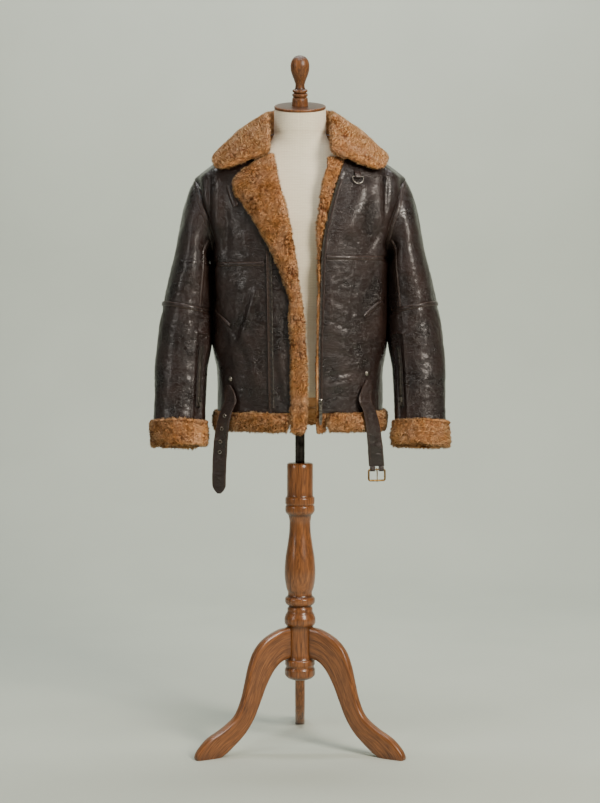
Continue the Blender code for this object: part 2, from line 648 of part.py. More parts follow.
def box_ring(width, height, bar):
    """Outlines of a rectangular ring with cut corners, round its own middle."""
    inner, outer = [], []
    for sx, sy in ((1, 1), (-1, 1), (-1, -1), (1, -1)):
        corner = [(sx * (width / 2 - bar), sy * height / 2), (sx * width / 2, sy * (height / 2 - bar))]
        inside = [
            (sx * (width / 2 - 1.5 * bar), sy * (height / 2 - bar)),
            (sx * (width / 2 - bar), sy * (height / 2 - 1.5 * bar)),
        ]
        if sx * sy > 0:
            corner, inside = corner[::-1], inside[::-1]
        outer += corner
        inner += inside
    return inner, outer


def frame_at(normal):
    """Directions at a point of the coat with this normal: across, up and out."""
    out = unit(normal)
    across = unit(np.cross([0, 0, 1], out))
    return across, unit(np.cross(out, across)), out


PULL_WIDE, PULL_BAR = 0.0068, 0.0014


def make_slider(side, spot, axes, length, metal):
    """A zip's slider with its bridge, and the pull that hangs from it. spot is on the zip's face."""
    across, up, out = axes
    # Side view of the slider, in (out, up): a wide foot and a narrow bridge over the pull's bar.
    inner = [(0.0028, -0.0018), (0.0030, -0.0018), (0.0031, -0.0018), (0.0060, -0.0018)]
    outer = [(0.0006, -0.0050), (0.0016, -0.0050), (0.0023, -0.0042), (0.0074, -0.0032)]
    halves = (0.0042, 0.0042, 0.0013, 0.0013)
    inner += [(out_by, -up_by) for out_by, up_by in inner[::-1]]
    outer += [(out_by, -up_by) for out_by, up_by in outer[::-1]]
    loops = []
    for (a0, b0), (a1, b1), half in zip(inner, outer, halves + halves[::-1]):
        near, far = spot + a0 * out + b0 * up, spot + a1 * out + b1 * up
        bridge = 0.0013 * across
        loops.append([near - bridge, far - half * across, far + half * across, near + bridge])
    loft(f"{side}_slider", loops, metal, ring=True, flat=True)
    pivot = spot + 0.0044 * out - 0.0006 * up
    w, bar = PULL_WIDE / 2, PULL_BAR / 2
    inner = [
        (-w + PULL_BAR, -bar), (w - PULL_BAR, -bar), (w - PULL_BAR, -0.0056), (w - 1.6 * PULL_BAR, -0.0064),
        (0.0003, -0.0064), (-0.0003, -0.0064), (-w + 1.6 * PULL_BAR, -0.0064), (-w + PULL_BAR, -0.0056),
    ]
    outer = [
        (-w, bar), (w, bar), (w * 0.9, -0.30 * length), (w * 1.1, -0.80 * length),
        (w * 0.6, -length), (-w * 0.6, -length), (-w * 1.1, -0.80 * length), (-w * 0.9, -0.30 * length),
    ]
    ring_plate(f"{side}_pull", pivot, (across, up, out), inner, outer, PULL_BAR / 2, metal)


def make_front_zip(tape_look, metal):
    """Both halves of the open front zip. The slider has stayed at the foot of the left half."""
    zip_line, left = smooth(ZIP_LINE), smooth(LEFT_EDGE)
    heights = np.linspace(0.792, 1.142, 17)
    path = front_path([(zip_line(z), z) for z in heights])
    strip("zip_right", path, tape_look, 0.013, thick=0.0018, lift=0.0009)
    path = front_path([(left(z) + 0.0050, z) for z in np.linspace(0.792, 1.302, 21)])
    strip("zip_left", path, tape_look, 0.009, thick=0.0018, lift=0.0009)
    z = 0.8080
    phi, t = front_at(left(z) + 0.0050, z)
    out = body_normal(phi, t)
    make_slider("zip_front", body(phi, t) + 0.0027 * out, frame_at(out), 0.052, metal)


SLEEVE_ZIP = math.radians(137)


def make_sleeve_zips(tape_look, metal):
    for side, flip in (("left", False), ("right", True)):
        places = [(SLEEVE_ZIP, s) for s in np.linspace(0.70, 0.955, 8)]
        strip(f"sleeve_zip_{side}", sleeve_path(places, flip), tape_look, 0.015, thick=0.0018, lift=0.0012)
        (p, n), = sleeve_path([(SLEEVE_ZIP, 0.925)], flip)
        make_slider(f"sleeve_zip_{side}", p + 0.0030 * n, frame_at(n), 0.016, metal)


D_RING = (0.1275, 1.3060)


def make_d_ring(leather, metal):
    """A steel D hanging by its flat bar from a leather keeper on the left front."""
    phi, t = front_at(*D_RING)
    across, up, out = frame_at(body_normal(phi, t))
    pivot = body(phi, t) + 0.0052 * out
    bar, half = 0.0022, 0.0134
    arc = [(half * math.cos(a), -0.004 - 0.0135 * math.sin(a)) for a in np.linspace(0, math.pi, 9)]
    arc_in = [
        ((half - bar) * math.cos(a), -0.004 - (0.0135 - bar) * math.sin(a))
        for a in np.linspace(0, math.pi, 9)
    ]
    outer = [(half - 0.001, bar / 2), *arc, (-half + 0.001, bar / 2)]
    inner = [(half - bar, -bar / 2), *arc_in, (-half + bar, -bar / 2)]
    ring_plate("d_ring", pivot, (across, up, out), inner, outer, bar / 2, metal)
    inner = [(-0.0018, 0.0018), (-0.0018, -0.0018), (0.0018, -0.0018), (0.0018, 0.0018)]
    outer = [(-0.0046, 0.0130), (-0.0046, -0.0034), (0.0034, -0.0034), (0.0034, 0.0060)]
    ring_plate("d_ring_keeper", pivot, (out, up, across), inner, outer, 0.0070, leather)


def make_throat_tab(leather):
    places = [(-0.1575, 1.288), (-0.1530, 1.272), (-0.1480, 1.256), (-0.1420, 1.240)]
    strip("throat_tab", front_path(places), leather, 0.016, thick=0.0026)


# Hanging straps: (x, height, width, how far out of the hem's face), from the stud downwards.
BELT_RIGHT = (
    (-0.1560, 0.842, 0.012, 0.0060), (-0.1530, 0.828, 0.026, 0.0066), (-0.1500, 0.806, 0.036, 0.0100),
    (-0.1545, 0.785, 0.036, 0.0160), (-0.1585, 0.765, 0.035, 0.0180), (-0.1640, 0.738, 0.035, 0.0180),
    (-0.1690, 0.700, 0.034, 0.0165), (-0.1720, 0.656, 0.033, 0.0150), (-0.1730, 0.616, 0.032, 0.0150),
    (-0.1730, 0.604, 0.022, 0.0150), (-0.1730, 0.597, 0.008, 0.0150),
)
BELT_LEFT = (
    (0.1500, 0.855, 0.014, 0.0066), (0.1450, 0.835, 0.028, 0.0070), (0.1400, 0.808, 0.036, 0.0100),
    (0.1470, 0.785, 0.036, 0.0160), (0.1520, 0.755, 0.036, 0.0180), (0.1560, 0.725, 0.036, 0.0180),
    (0.1600, 0.695, 0.036, 0.0165), (0.1640, 0.6600, 0.036, 0.0150),
)
BELT_THICK = 0.0028
BELT_TWIST = 0.62  # how far a strap turns towards the front by its end
STUDS = {"right": (-0.1560, 0.8560), "left": (0.1500, 0.8690)}


def belt_frame(x):
    """A point of the hem's side and the directions of a strap that hangs there."""
    p, n = body(phi_at(x, HEM_Z), HEM_Z), body_normal(phi_at(x, HEM_Z), HEM_Z)
    return p, frame_at(n * [1, 1, 0])


def belt_point(rows, x, z, out_by):
    p, (across, up, out) = belt_frame(rows[3][0])
    return p + (x - p[0]) / across[0] * across + np.array([0, 0, z - p[2]]) + out_by * out


def belt_turn(rows, z):
    """The strap's directions at a height: it twists to face the front as it hangs."""
    _, (across, up, out) = belt_frame(rows[3][0])
    share = BELT_TWIST * min(1.0, max(0.0, (rows[3][1] - z) / 0.10))
    return frame_at(out * (1 - share) + np.array([0.0, -1.0, 0.0]) * share)


def make_belts(leather, brass, metal):
    for side, rows in (("right", BELT_RIGHT), ("left", BELT_LEFT)):
        loops = []
        for x, z, width, off in rows:
            across, up, out = belt_turn(rows, z)
            mid = belt_point(rows, x, z, off)
            a, h = width / 2 * across, BELT_THICK / 2 * out
            loops.append([mid - a - h, mid + a - h, mid + a + h, mid - a + h])
        loft(f"belt_{side}", loops, leather, flat=True)
        phi, t = front_at(*STUDS[side])
        axis = frame_at(body_normal(phi, t))
        base = body(phi, t)
        loops = []
        for radius, height in ((0.0050, 0.0005), (0.0058, 0.0014), (0.0050, 0.0032), (0.0022, 0.0042)):
            ring = [2 * math.pi * i / 12 for i in range(12)]
            loops.append([
                base + radius * (math.cos(a) * axis[0] + math.sin(a) * axis[1]) + height * axis[2]
                for a in ring
            ])
        loft(f"belt_stud_{side}", loops, metal)
    make_buckle(leather, brass)


BUCKLE = (0.041, 0.028, 0.0032)  # width, height, bar


def make_buckle(leather, brass):
    """The frame and prong of the left strap's buckle, both turning on the strap's end loops."""
    x, z, width, off = BELT_LEFT[-1]
    across, up, out = belt_turn(BELT_LEFT, z)
    wide, high, bar = BUCKLE
    pivot = belt_point(BELT_LEFT, x, z - 0.0075, off)
    middle = pivot - (high / 2 - bar / 2) * up
    inner, outer = box_ring(wide, high, bar)
    ring_plate("buckle_frame", middle, (across, up, out), inner, outer, bar / 2, brass)
    hole, far = 0.0024, 0.0044
    for part, shift in (("a", -0.0100), ("b", 0.0100)):
        inner = [(hole, hole), (-hole, hole), (-hole, -hole), (hole, -hole)]
        outer = [(far, 0.0070), (-far, 0.0070), (-far, -far), (far, -far)]
        place = pivot + shift * across
        ring_plate(f"belt_loop_{part}", place, (out, up, across), inner, outer, 0.0052, leather)
    # The prong rests on the front of the frame's lower bar.
    inner = [(hole, hole), (-hole, hole), (-hole, -hole), (0.0008, -hole), (0.0014, -hole), (hole, -hole)]
    outer = [
        (0.0040, 0.0040), (-0.0040, 0.0040), (-0.0040, -0.0040), (0.0014, -0.0042),
        (0.0019, -high - 0.0005), (0.0036, -high - 0.0005),
    ]
    ring_plate("buckle_prong", pivot, (out, up, across), inner, outer, 0.0014, brass)


# ---- dress form and stand ----
def make_form(linen, cap_wood):
    sides = 32
    loops = []
    for z, w, d, y in FORM:
        power = 2 / (2.3 if z < 1.3 else 2.1)
        loop = []
        for i in range(sides):
            a = 2 * math.pi * i / sides
            c, s_ = math.cos(a), math.sin(a)
            x = w * math.copysign(abs(c) ** power, c)
            loop.append((x, y + d * math.copysign(abs(s_) ** power, s_), z))
        loops.append(loop)
    centre, lean = np.array([0.0, -0.004, CAP_Z]), CAP_TILT
    for share in (0.5, 1.0):
        loop = []
        for i, low in enumerate(loops[len(FORM) - 1]):
            a = 2 * math.pi * i / sides
            top = centre + NECK_R * np.array(
                [math.cos(a), math.sin(a) * math.cos(lean), math.sin(a) * math.sin(lean)]
            )
            loop.append(np.asarray(low) * (1 - share) + top * share)
        loops.append(loop)
    loft("dress_form", loops, linen)
    axis = np.array([0.0, -math.sin(lean), math.cos(lean)])
    disc = ((0.0560, 0.0), (NECK_R + 0.0004, 0.0016), (NECK_R + 0.0004, 0.0046), (0.0560, 0.0064))
    turned("neck_cap", disc, cap_wood, centre + 0.0004 * axis, lean)
    turned("finial", FINIAL, cap_wood, centre + 0.0072 * axis, lean)


def resample(rows, count):
    """Points at equal steps of length along a line through rows."""
    pts = np.array(rows, float)
    run = np.concatenate([[0], np.cumsum(np.linalg.norm(np.diff(pts, axis=0), axis=1))])
    at = np.linspace(0, run[-1], count)
    return np.stack([np.interp(at, run, pts[:, k]) for k in range(2)], axis=1)


def make_leg(name, heading, wood):
    """A curved leg. heading is the direction it points in, from above."""
    back, belly = resample(LEG_BACK, 19), resample(LEG_BELLY[::-1], 19)
    along = np.array([math.cos(heading), math.sin(heading), 0.0])
    across = np.array([-along[1], along[0], 0.0])
    up = np.array([0.0, 0.0, 1.0])
    half, edge = LEG_THICK / 2, 0.005
    loops = []
    for (r0, z0), (r1, z1) in zip(back, belly):
        a, b = r0 * along + z0 * up, r1 * along + z1 * up
        inward = unit(b - a) * edge
        w = across * half
        loops.append([a + 0.6 * w, a + inward + w, b - inward + w, b + 0.6 * w,
                      b - 0.6 * w, b - inward - w, a + inward - w, a - 0.6 * w])
    loft(name, loops, wood)


def make_stand(wood, steel):
    turned("column", COLUMN, wood)
    turned("pole", ((0.0110, COLUMN_TOP + SEAM), (0.0110, FORM_BASE - SEAM)), steel, sides=24)
    for name, degrees in (("leg_left", -30), ("leg_right", 210), ("leg_back", 90)):
        make_leg(name, math.radians(degrees), wood)


def main():
    clear_scene()
    leather = make_material("dark_brown_leather", (0.020, 0.013, 0.011), 0.35)
    wool = make_material("tan_wool", (0.40, 0.19, 0.07), 0.95)
    tape = make_material("zip_tape", (0.03, 0.025, 0.02), 0.8)
    metal = make_material("old_nickel", (0.45, 0.43, 0.40), 0.35, 1.0)
    brass = make_material("old_brass", (0.48, 0.33, 0.14), 0.35, 1.0)
    linen = make_material("cream_linen", (0.78, 0.73, 0.62), 0.9)
    wood = make_material("turned_wood", (0.24, 0.085, 0.02), 0.35)
    cap_wood = make_material("dark_wood", (0.17, 0.05, 0.015), 0.3)
    steel = make_material("dark_steel", (0.10, 0.09, 0.085), 0.3, 1.0)
    make_body(leather)
    make_sleeves(leather, wool)
    make_facings(wool)
    make_hem(wool)
    make_collar(wool)
    make_tapes(leather)
    make_pockets(leather)
    make_front_zip(tape, metal)
    make_sleeve_zips(tape, metal)
    make_d_ring(leather, metal)
    make_throat_tab(leather)
    make_belts(leather, brass, metal)
    make_form(linen, cap_wood)
    make_stand(wood, steel)


main()
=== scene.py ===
"""A shearling flying coat on a linen dress form with a turned wooden tripod stand.

Metres, +Z up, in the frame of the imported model. The coat faces -Y. Every shape is made round the stand's
column and then moved to AXIS_Y. The coat's pieces follow two smooth patterns, the body and the sleeve;
folds, wrinkles and wool are heights laid on top of them.
"""

import json
import logging
import math
from collections.abc import Callable
from dataclasses import dataclass, field
from enum import Enum

import bmesh
import bpy
import numpy as np
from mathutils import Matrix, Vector

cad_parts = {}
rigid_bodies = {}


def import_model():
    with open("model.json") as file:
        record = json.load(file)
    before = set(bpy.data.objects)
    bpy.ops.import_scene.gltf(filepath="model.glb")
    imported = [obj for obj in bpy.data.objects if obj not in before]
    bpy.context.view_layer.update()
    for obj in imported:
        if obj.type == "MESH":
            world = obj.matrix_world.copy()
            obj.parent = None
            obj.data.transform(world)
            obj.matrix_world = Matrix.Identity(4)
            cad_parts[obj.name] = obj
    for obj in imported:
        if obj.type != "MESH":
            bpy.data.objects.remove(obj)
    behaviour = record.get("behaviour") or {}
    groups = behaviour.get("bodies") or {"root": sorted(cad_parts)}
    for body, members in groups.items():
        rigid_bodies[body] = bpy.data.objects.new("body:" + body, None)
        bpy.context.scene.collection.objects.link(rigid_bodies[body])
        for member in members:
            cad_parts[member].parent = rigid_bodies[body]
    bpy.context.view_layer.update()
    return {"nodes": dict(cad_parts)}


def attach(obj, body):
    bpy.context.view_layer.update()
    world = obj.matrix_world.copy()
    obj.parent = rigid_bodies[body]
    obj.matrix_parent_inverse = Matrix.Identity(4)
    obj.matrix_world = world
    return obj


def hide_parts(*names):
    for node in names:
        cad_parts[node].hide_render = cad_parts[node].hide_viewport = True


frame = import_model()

LOG = logging.getLogger("coat")

Array = np.ndarray
Rows = tuple[tuple[float, ...], ...]
Edge = Callable[[Array], Array]  # the angles of a panel's edge on its rows
Section = Callable[[float], list[tuple[float, float]]]  # a slab's (distance, height) rows for its width

AXIS_Y = -0.0571  # the column's axis
WALL = 0.004  # leather with its clipped wool
SEAM = 0.0003  # between neighbouring pieces
HEM_Z, HEM_TRIM = 0.781, 0.046
YOKE_RIGHT, YOKE_LEFT = 1.113, 1.127
PIT_Z, TIP_Z, NECK_Z = 1.14, 1.312, 1.412
ARM_MID, ARM_HALF = (PIT_Z + TIP_Z) / 2, (TIP_Z - PIT_Z) / 2
ARMHOLE_FRONT, ARMHOLE_BACK = math.radians(27), math.radians(30)
ELBOW, SLEEVE_END, CUFF_TOP, CUFF_LOW = 0.52, 1.012, 1.006, 1.115
SLEEVE_SEAM, SLEEVE_ZIP = math.radians(127), math.radians(137)
GIRTH = 0.19  # the body's half width, which turns angles round it to lengths
COAT = "coat_on_stand"


class Slot(Enum):
    """The record's material slots."""

    LEATHER = "dark_brown_leather"
    WOOL = "tan_wool"
    TAPE = "zip_tape"
    NICKEL = "old_nickel"
    BRASS = "old_brass"
    LINEN = "cream_linen"
    WOOD = "turned_wood"
    DARK_WOOD = "dark_wood"
    STEEL = "dark_steel"


class Side(Enum):
    """The wearer's left is at +X and the right at -X."""

    LEFT = 1
    RIGHT = -1


# ---- numbers, noise and smooth curves ----
def unit(v: Array) -> Array:
    """Vectors scaled to length 1 along the last axis."""
    v = np.asarray(v, float)
    return v / np.maximum(np.linalg.norm(v, axis=-1, keepdims=True), 1e-12)


def ease(x: Array, low: float, high: float) -> Array:
    """A smooth step from 0 at low to 1 at high."""
    s = np.clip((np.asarray(x, float) - low) / (high - low), 0, 1)
    return s * s * (3 - 2 * s)


def hashed(cell: Array, seed: int) -> Array:
    """A repeatable number from 0 to 1 for each whole-number cell, given as (..., 3).

    Args:
        cell: whole-number cells, (..., 3).
        seed: which numbers.

    Returns:
        One number for each cell.
    """
    n = cell.astype(np.int64)
    h = n[..., 0] * 73856093 ^ n[..., 1] * 19349663 ^ n[..., 2] * 83492791 ^ np.int64(seed * 2654435761)
    h = (h ^ (h >> 13)) * np.int64(1274126177)
    h ^= h >> 16
    return (h & 0xFFFFFF) / float(0xFFFFFF)


def noise(p: Array, seed: int) -> Array:
    """Smooth noise from -1 to 1 with features about one unit wide.

    Args:
        p: points, (..., 3).
        seed: which noise.

    Returns:
        One value for each point.
    """
    base = np.floor(p)
    f = p - base
    f = f * f * f * (f * (f * 6 - 15) + 10)
    total = 0.0
    for corner in range(8):
        at = np.array([corner & 1, corner >> 1 & 1, corner >> 2 & 1])
        share = np.prod(np.where(at == 1, f, 1 - f), axis=-1)
        total = total + share * hashed(base + at, seed)
    return total * 2 - 1


def layered(p: Array, seed: int) -> Array:
    """Noise with finer noise added to it, layer by layer.

    Args:
        p: points, (..., 3).
        seed: which noise.

    Returns:
        One value from -1 to 1 for each point.
    """
    total, size, weight, whole = 0.0, 1.0, 1.0, 0.0
    for k in range(3):
        total = total + weight * noise(p * size, seed + 17 * k)
        whole += weight
        size, weight = size * 2.1, weight * 0.5
    return total / whole


def cells(p: Array, seed: int) -> tuple[Array, Array, Array, Array]:
    """Cells about one unit wide round scattered centres.

    Args:
        p: points, (n, 3).
        seed: which scatter.

    Returns:
        The distance to the nearest centre and to the next one, the vector to the nearest centre, and a
        number from 0 to 1 for that centre.
    """
    base = np.floor(p)
    near, following = np.full(len(p), 9.0), np.full(len(p), 9.0)
    way, mark = np.zeros_like(p), np.zeros(len(p))
    for k in range(27):
        cell = base + np.array([k % 3 - 1, k // 3 % 3 - 1, k // 9 - 1])
        centre = cell + np.stack([hashed(cell, seed + j) for j in range(3)], axis=-1)
        to = centre - p
        far = np.linalg.norm(to, axis=-1)
        closer = far < near
        following = np.where(closer, near, np.minimum(following, far))
        near = np.where(closer, far, near)
        way = np.where(closer[:, None], to, way)
        mark = np.where(closer, hashed(cell, seed + 5), mark)
    return near, following, way, mark


class Curve:
    """A monotone cubic through (x, y) rows, which holds its end values outside them."""

    def __init__(self, rows: Rows | list[tuple[float, ...]], column: int = 1) -> None:
        """Fits the curve to one column of the rows over their first column.

        Args:
            rows: the points that it passes through, in order.
            column: the column that it follows.
        """
        self.x = np.array([r[0] for r in rows], float)
        self.y = np.array([r[column] for r in rows], float)
        step = np.diff(self.y) / np.diff(self.x)
        self.slope = np.zeros(len(self.x))
        for i in range(1, len(self.x) - 1):
            if step[i - 1] * step[i] > 0:
                self.slope[i] = 2 * step[i - 1] * step[i] / (step[i - 1] + step[i])
        self.slope[0], self.slope[-1] = step[0], step[-1]

    def __call__(self, x: Array | float) -> Array:
        """The curve's values at x.

        Args:
            x: where.

        Returns:
            Its values there.
        """
        x = np.clip(x, self.x[0], self.x[-1])
        i = np.clip(np.searchsorted(self.x, x, side="right") - 1, 0, len(self.x) - 2)
        h = self.x[i + 1] - self.x[i]
        s = (x - self.x[i]) / h
        return (
            self.y[i] * (1 + 2 * s) * (1 - s) ** 2
            + h * self.slope[i] * s * (1 - s) ** 2
            + self.y[i + 1] * s * s * (3 - 2 * s)
            + h * self.slope[i + 1] * s * s * (s - 1)
        )


def curves(rows: Rows | list[tuple[float, ...]]) -> list[Curve]:
    """One curve for each column after the first."""
    return [Curve(rows, k) for k in range(1, len(rows[0]))]


def run_of(p: Array) -> Array:
    """The length of a line up to each of its points."""
    return np.concatenate([[0], np.cumsum(np.linalg.norm(np.diff(p, axis=0), axis=1))])


def full_turn(count: int) -> Array:
    """Angles at equal steps all the way round."""
    return 2 * math.pi * np.arange(count) / count


def circle(across: Array, up: Array, count: int) -> Array:
    """The points of a circle of radius 1 in the plane of two directions.

    Args:
        across: the first direction.
        up: the second.
        count: how many points.

    Returns:
        (count, 3).
    """
    turn = full_turn(count)
    return np.cos(turn)[:, None] * across + np.sin(turn)[:, None] * up


def evenly(points: Array, count: int, closed: bool = False) -> Array:
    """Points at equal steps of length along a smooth line through points.

    Args:
        points: the line's own points, (n, 2 or 3).
        count: how many to give back.
        closed: whether the line ends where it starts.

    Returns:
        (count, 2 or 3). A closed line's first point isn't repeated.
    """
    p = np.asarray(points, float)
    n = len(p)
    before, after = (p[-1:], p[:2]) if closed else (2 * p[:1] - p[1:2], 2 * p[-1:] - p[-2:-1])
    ring = np.concatenate([before, p, after])
    dense = []
    for i in range(n if closed else n - 1):
        a, b, c, d = ring[i : i + 4]
        s = np.linspace(0, 1, 14, endpoint=False)[:, None]
        dense.append(0.5 * (2 * b + (c - a) * s + (2 * a - 5 * b + 4 * c - d) * s**2 + (3 * b - a - 3 * c + d) * s**3))
    line = np.concatenate([*dense, ring[1:2] if closed else p[-1:]])
    run = run_of(line)
    at = np.linspace(0, run[-1], count, endpoint=not closed)
    return np.stack([np.interp(at, run, line[:, k]) for k in range(p.shape[1])], axis=1)


# ---- the coat's two patterns ----
@dataclass
class BodyPattern:
    """The smooth outer face of the coat's body.

    The rows are the height at the side, half width, depth to the front and back, how much the front and
    the back are higher than the side, and the power of the superellipse.
    """

    rows: Rows = (
        (0.78, 0.19, 0.132, 0.128, 0.000, 0.000, 2.5),
        (0.86, 0.19, 0.135, 0.129, 0.000, 0.000, 2.5),
        (0.95, 0.193, 0.139, 0.131, 0.000, 0.000, 2.5),
        (1.05, 0.197, 0.142, 0.135, 0.000, 0.000, 2.5),
        (1.14, 0.201, 0.143, 0.139, 0.000, 0.000, 2.5),
        (1.2, 0.214, 0.141, 0.141, 0.003, 0.004, 2.5),
        (1.262, 0.237, 0.133, 0.139, 0.006, 0.01, 2.4),
        (1.312, 0.245, 0.12, 0.131, 0.004, 0.018, 2.3),
        (1.342, 0.203, 0.11, 0.118, 0.000, 0.022, 2.2),
        (1.368, 0.155, 0.102, 0.105, -0.01, 0.022, 2.1),
        (1.392, 0.11, 0.095, 0.09, -0.028, 0.02, 2.0),
        (1.412, 0.08, 0.089, 0.076, -0.044, 0.016, 2.0),
    )
    fold: Rows = ((0.9, 0.0), (1.1, 0.006), (1.24, 0.009), (1.32, 0.004), (1.36, 0.0))

    def __post_init__(self) -> None:
        """Fits the curves."""
        self.width, self.front, self.back, self.front_rise, self.back_rise, self.power = curves(self.rows)
        self.fold_size = Curve(self.fold)

    def point(self, phi: Array, t: Array) -> Array:
        """Points at angles phi round from the front's middle towards +X, on rows of side height t.

        Args:
            phi: angles round from the front's middle towards +X.
            t: side heights of the rows.

        Returns:
            Points, (..., 3).
        """
        phi, t = np.broadcast_arrays(np.asarray(phi, float), np.asarray(t, float))
        s, c = np.sin(phi), np.cos(phi)
        e = 2 / self.power(t)
        depth = np.where(c > 0, self.front(t), self.back(t))
        rise = np.where(c > 0, self.front_rise(t), self.back_rise(t))
        turn = np.degrees(np.abs(np.arctan2(s, c)))
        fold = self.fold_size(t) * (np.exp(-(((turn - 58) / 9) ** 2)) - np.exp(-(((turn - 75) / 8) ** 2)))
        x = (self.width(t) + fold) * np.sign(s) * np.abs(s) ** e
        y = -(depth + fold) * np.sign(c) * np.abs(c) ** e
        return np.stack([x, y, t + rise * c * c], axis=-1)

    def normal(self, phi: Array, t: Array, step: float = 0.004) -> Array:
        """Outward normals.

        Args:
            phi: angles, as for point.
            t: rows, as for point.
            step: how far apart the points compared are.

        Returns:
            Unit normals, (..., 3).
        """
        a = self.point(np.add(phi, step), t) - self.point(np.subtract(phi, step), t)
        b = self.point(phi, np.add(t, step)) - self.point(phi, np.subtract(t, step))
        return unit(np.cross(a, b))

    def phi_at(self, x: Array, t: Array) -> Array:
        """The angles on the front at which rows t are at x."""
        ratio = np.minimum(1.0, np.abs(x) / self.width(t))
        return np.sign(x) * np.arcsin(ratio ** (self.power(t) / 2))

    def front_at(self, x: Array, z: Array) -> tuple[Array, Array]:
        """(phi, t) of the front's points at x and height z.

        Args:
            x: across.
            z: heights.

        Returns:
            The angles and the rows.
        """
        x, z = np.broadcast_arrays(np.asarray(x, float), np.asarray(z, float))
        t = z.copy()
        for _ in range(20):
            t = np.clip(t + z - self.point(self.phi_at(x, t), t)[..., 2], HEM_Z - 0.06, NECK_Z)
        return self.phi_at(x, t), t

    def on_front(self, x: Array, z: Array) -> tuple[Array, Array]:
        """Points and normals of the front at x and z. It runs straight on below the hem.

        Args:
            x: across.
            z: heights.

        Returns:
            Points and unit normals.
        """
        drop = np.minimum(0.0, np.asarray(z, float) - HEM_Z)
        phi, t = self.front_at(x, z - drop)
        return self.point(phi, t) + drop[..., None] * [0, 0, 1.0], self.normal(phi, t)

    def edge(self, line: Curve, t: Array, shift: float = 0.0) -> Array:
        """The angle on each row t of a front edge given as x by height.

        Args:
            line: x by height.
            t: the rows.
            shift: added to x.

        Returns:
            One angle for each row.
        """
        phi = np.zeros_like(t)
        for _ in range(12):
            phi = self.phi_at(line(self.point(phi, t)[..., 2]) + shift, t)
        return phi

    def armhole(self, psi: Array) -> tuple[Array, Array]:
        """(phi, t) of the armhole at +X, from the shoulder tip over the front to the armpit."""
        reach = np.where(np.sin(psi) > 0, ARMHOLE_FRONT, ARMHOLE_BACK)
        return math.pi / 2 - reach * np.sin(psi), ARM_MID + ARM_HALF * np.cos(psi)

    def side(self, t: Array, reach: float) -> Array:
        """How far round a panel goes on rows t: to the side seam, or to the armhole."""
        off = (t - ARM_MID) / ARM_HALF
        return math.pi / 2 - np.where(np.abs(off) < 1, reach * np.sqrt(np.maximum(0, 1 - off * off)), 0.0)


BODY = BodyPattern()


@dataclass
class SleevePattern:
    """The smooth outer face of the +X sleeve.

    The rows are the place along it, its outer and inner edge as (x, z), its half depth, and how far back
    its middle lies.
    """

    rows: Rows = (
        (0.00, 0.245, 1.312, 0.201, 1.14, 0.076, 0.004),
        (0.08, 0.26, 1.272, 0.207, 1.122, 0.082, 0.004),
        (0.18, 0.272, 1.217, 0.205, 1.106, 0.086, 0.003),
        (0.3, 0.286, 1.15, 0.2025, 1.082, 0.086, 0.000),
        (0.42, 0.303, 1.082, 0.202, 1.043, 0.083, -0.004),
        (0.52, 0.314, 1.025, 0.2035, 1.003, 0.078, -0.009),
        (0.68, 0.326, 0.94, 0.207, 0.932, 0.068, -0.022),
        (0.84, 0.332, 0.852, 0.212, 0.85, 0.057, -0.04),
        (1.00, 0.332, 0.763, 0.215, 0.763, 0.049, -0.058),
        (1.12, 0.331, 0.696, 0.214, 0.698, 0.048, -0.071),
    )

    def __post_init__(self) -> None:
        """Fits the curves."""
        self.lines = curves(self.rows)

    def point(self, psi: Array, s: Array) -> Array:
        """Points at angles psi round from the outer edge over the front, at places s down the sleeve.

        Args:
            psi: angles round from the outer edge over the front.
            s: places down the sleeve.

        Returns:
            Points, (..., 3).
        """
        psi, s = np.broadcast_arrays(np.asarray(psi, float), np.asarray(s, float))
        out_x, out_z, in_x, in_z, half, middle = [line(s) for line in self.lines]
        top, low = np.stack([out_x, middle, out_z], -1), np.stack([in_x, middle, in_z], -1)
        lean = 0.16 * np.clip((s - 0.3) / 0.5, 0, 1)
        front = np.stack([0 * s, -np.cos(lean), np.sin(lean)], -1)
        made = (top + low) / 2 + (top - low) / 2 * np.cos(psi)[..., None] + (half * np.sin(psi))[..., None] * front
        share = np.where(s < 0.18, (1 - np.clip(s, 0, 0.18) / 0.18) ** 2, 0.0)[..., None]
        return made * (1 - share) + BODY.point(*BODY.armhole(psi)) * share

    def normal(self, psi: Array, s: Array) -> Array:
        """Outward normals.

        Args:
            psi: angles, as for point.
            s: places, as for point.

        Returns:
            Unit normals, (..., 3).
        """
        a = self.point(np.add(psi, 0.01), s) - self.point(np.subtract(psi, 0.01), s)
        b = self.point(psi, np.add(s, 0.01)) - self.point(psi, np.maximum(np.subtract(s, 0.01), 0.0))
        return unit(np.cross(a, b))


SLEEVE = SleevePattern()


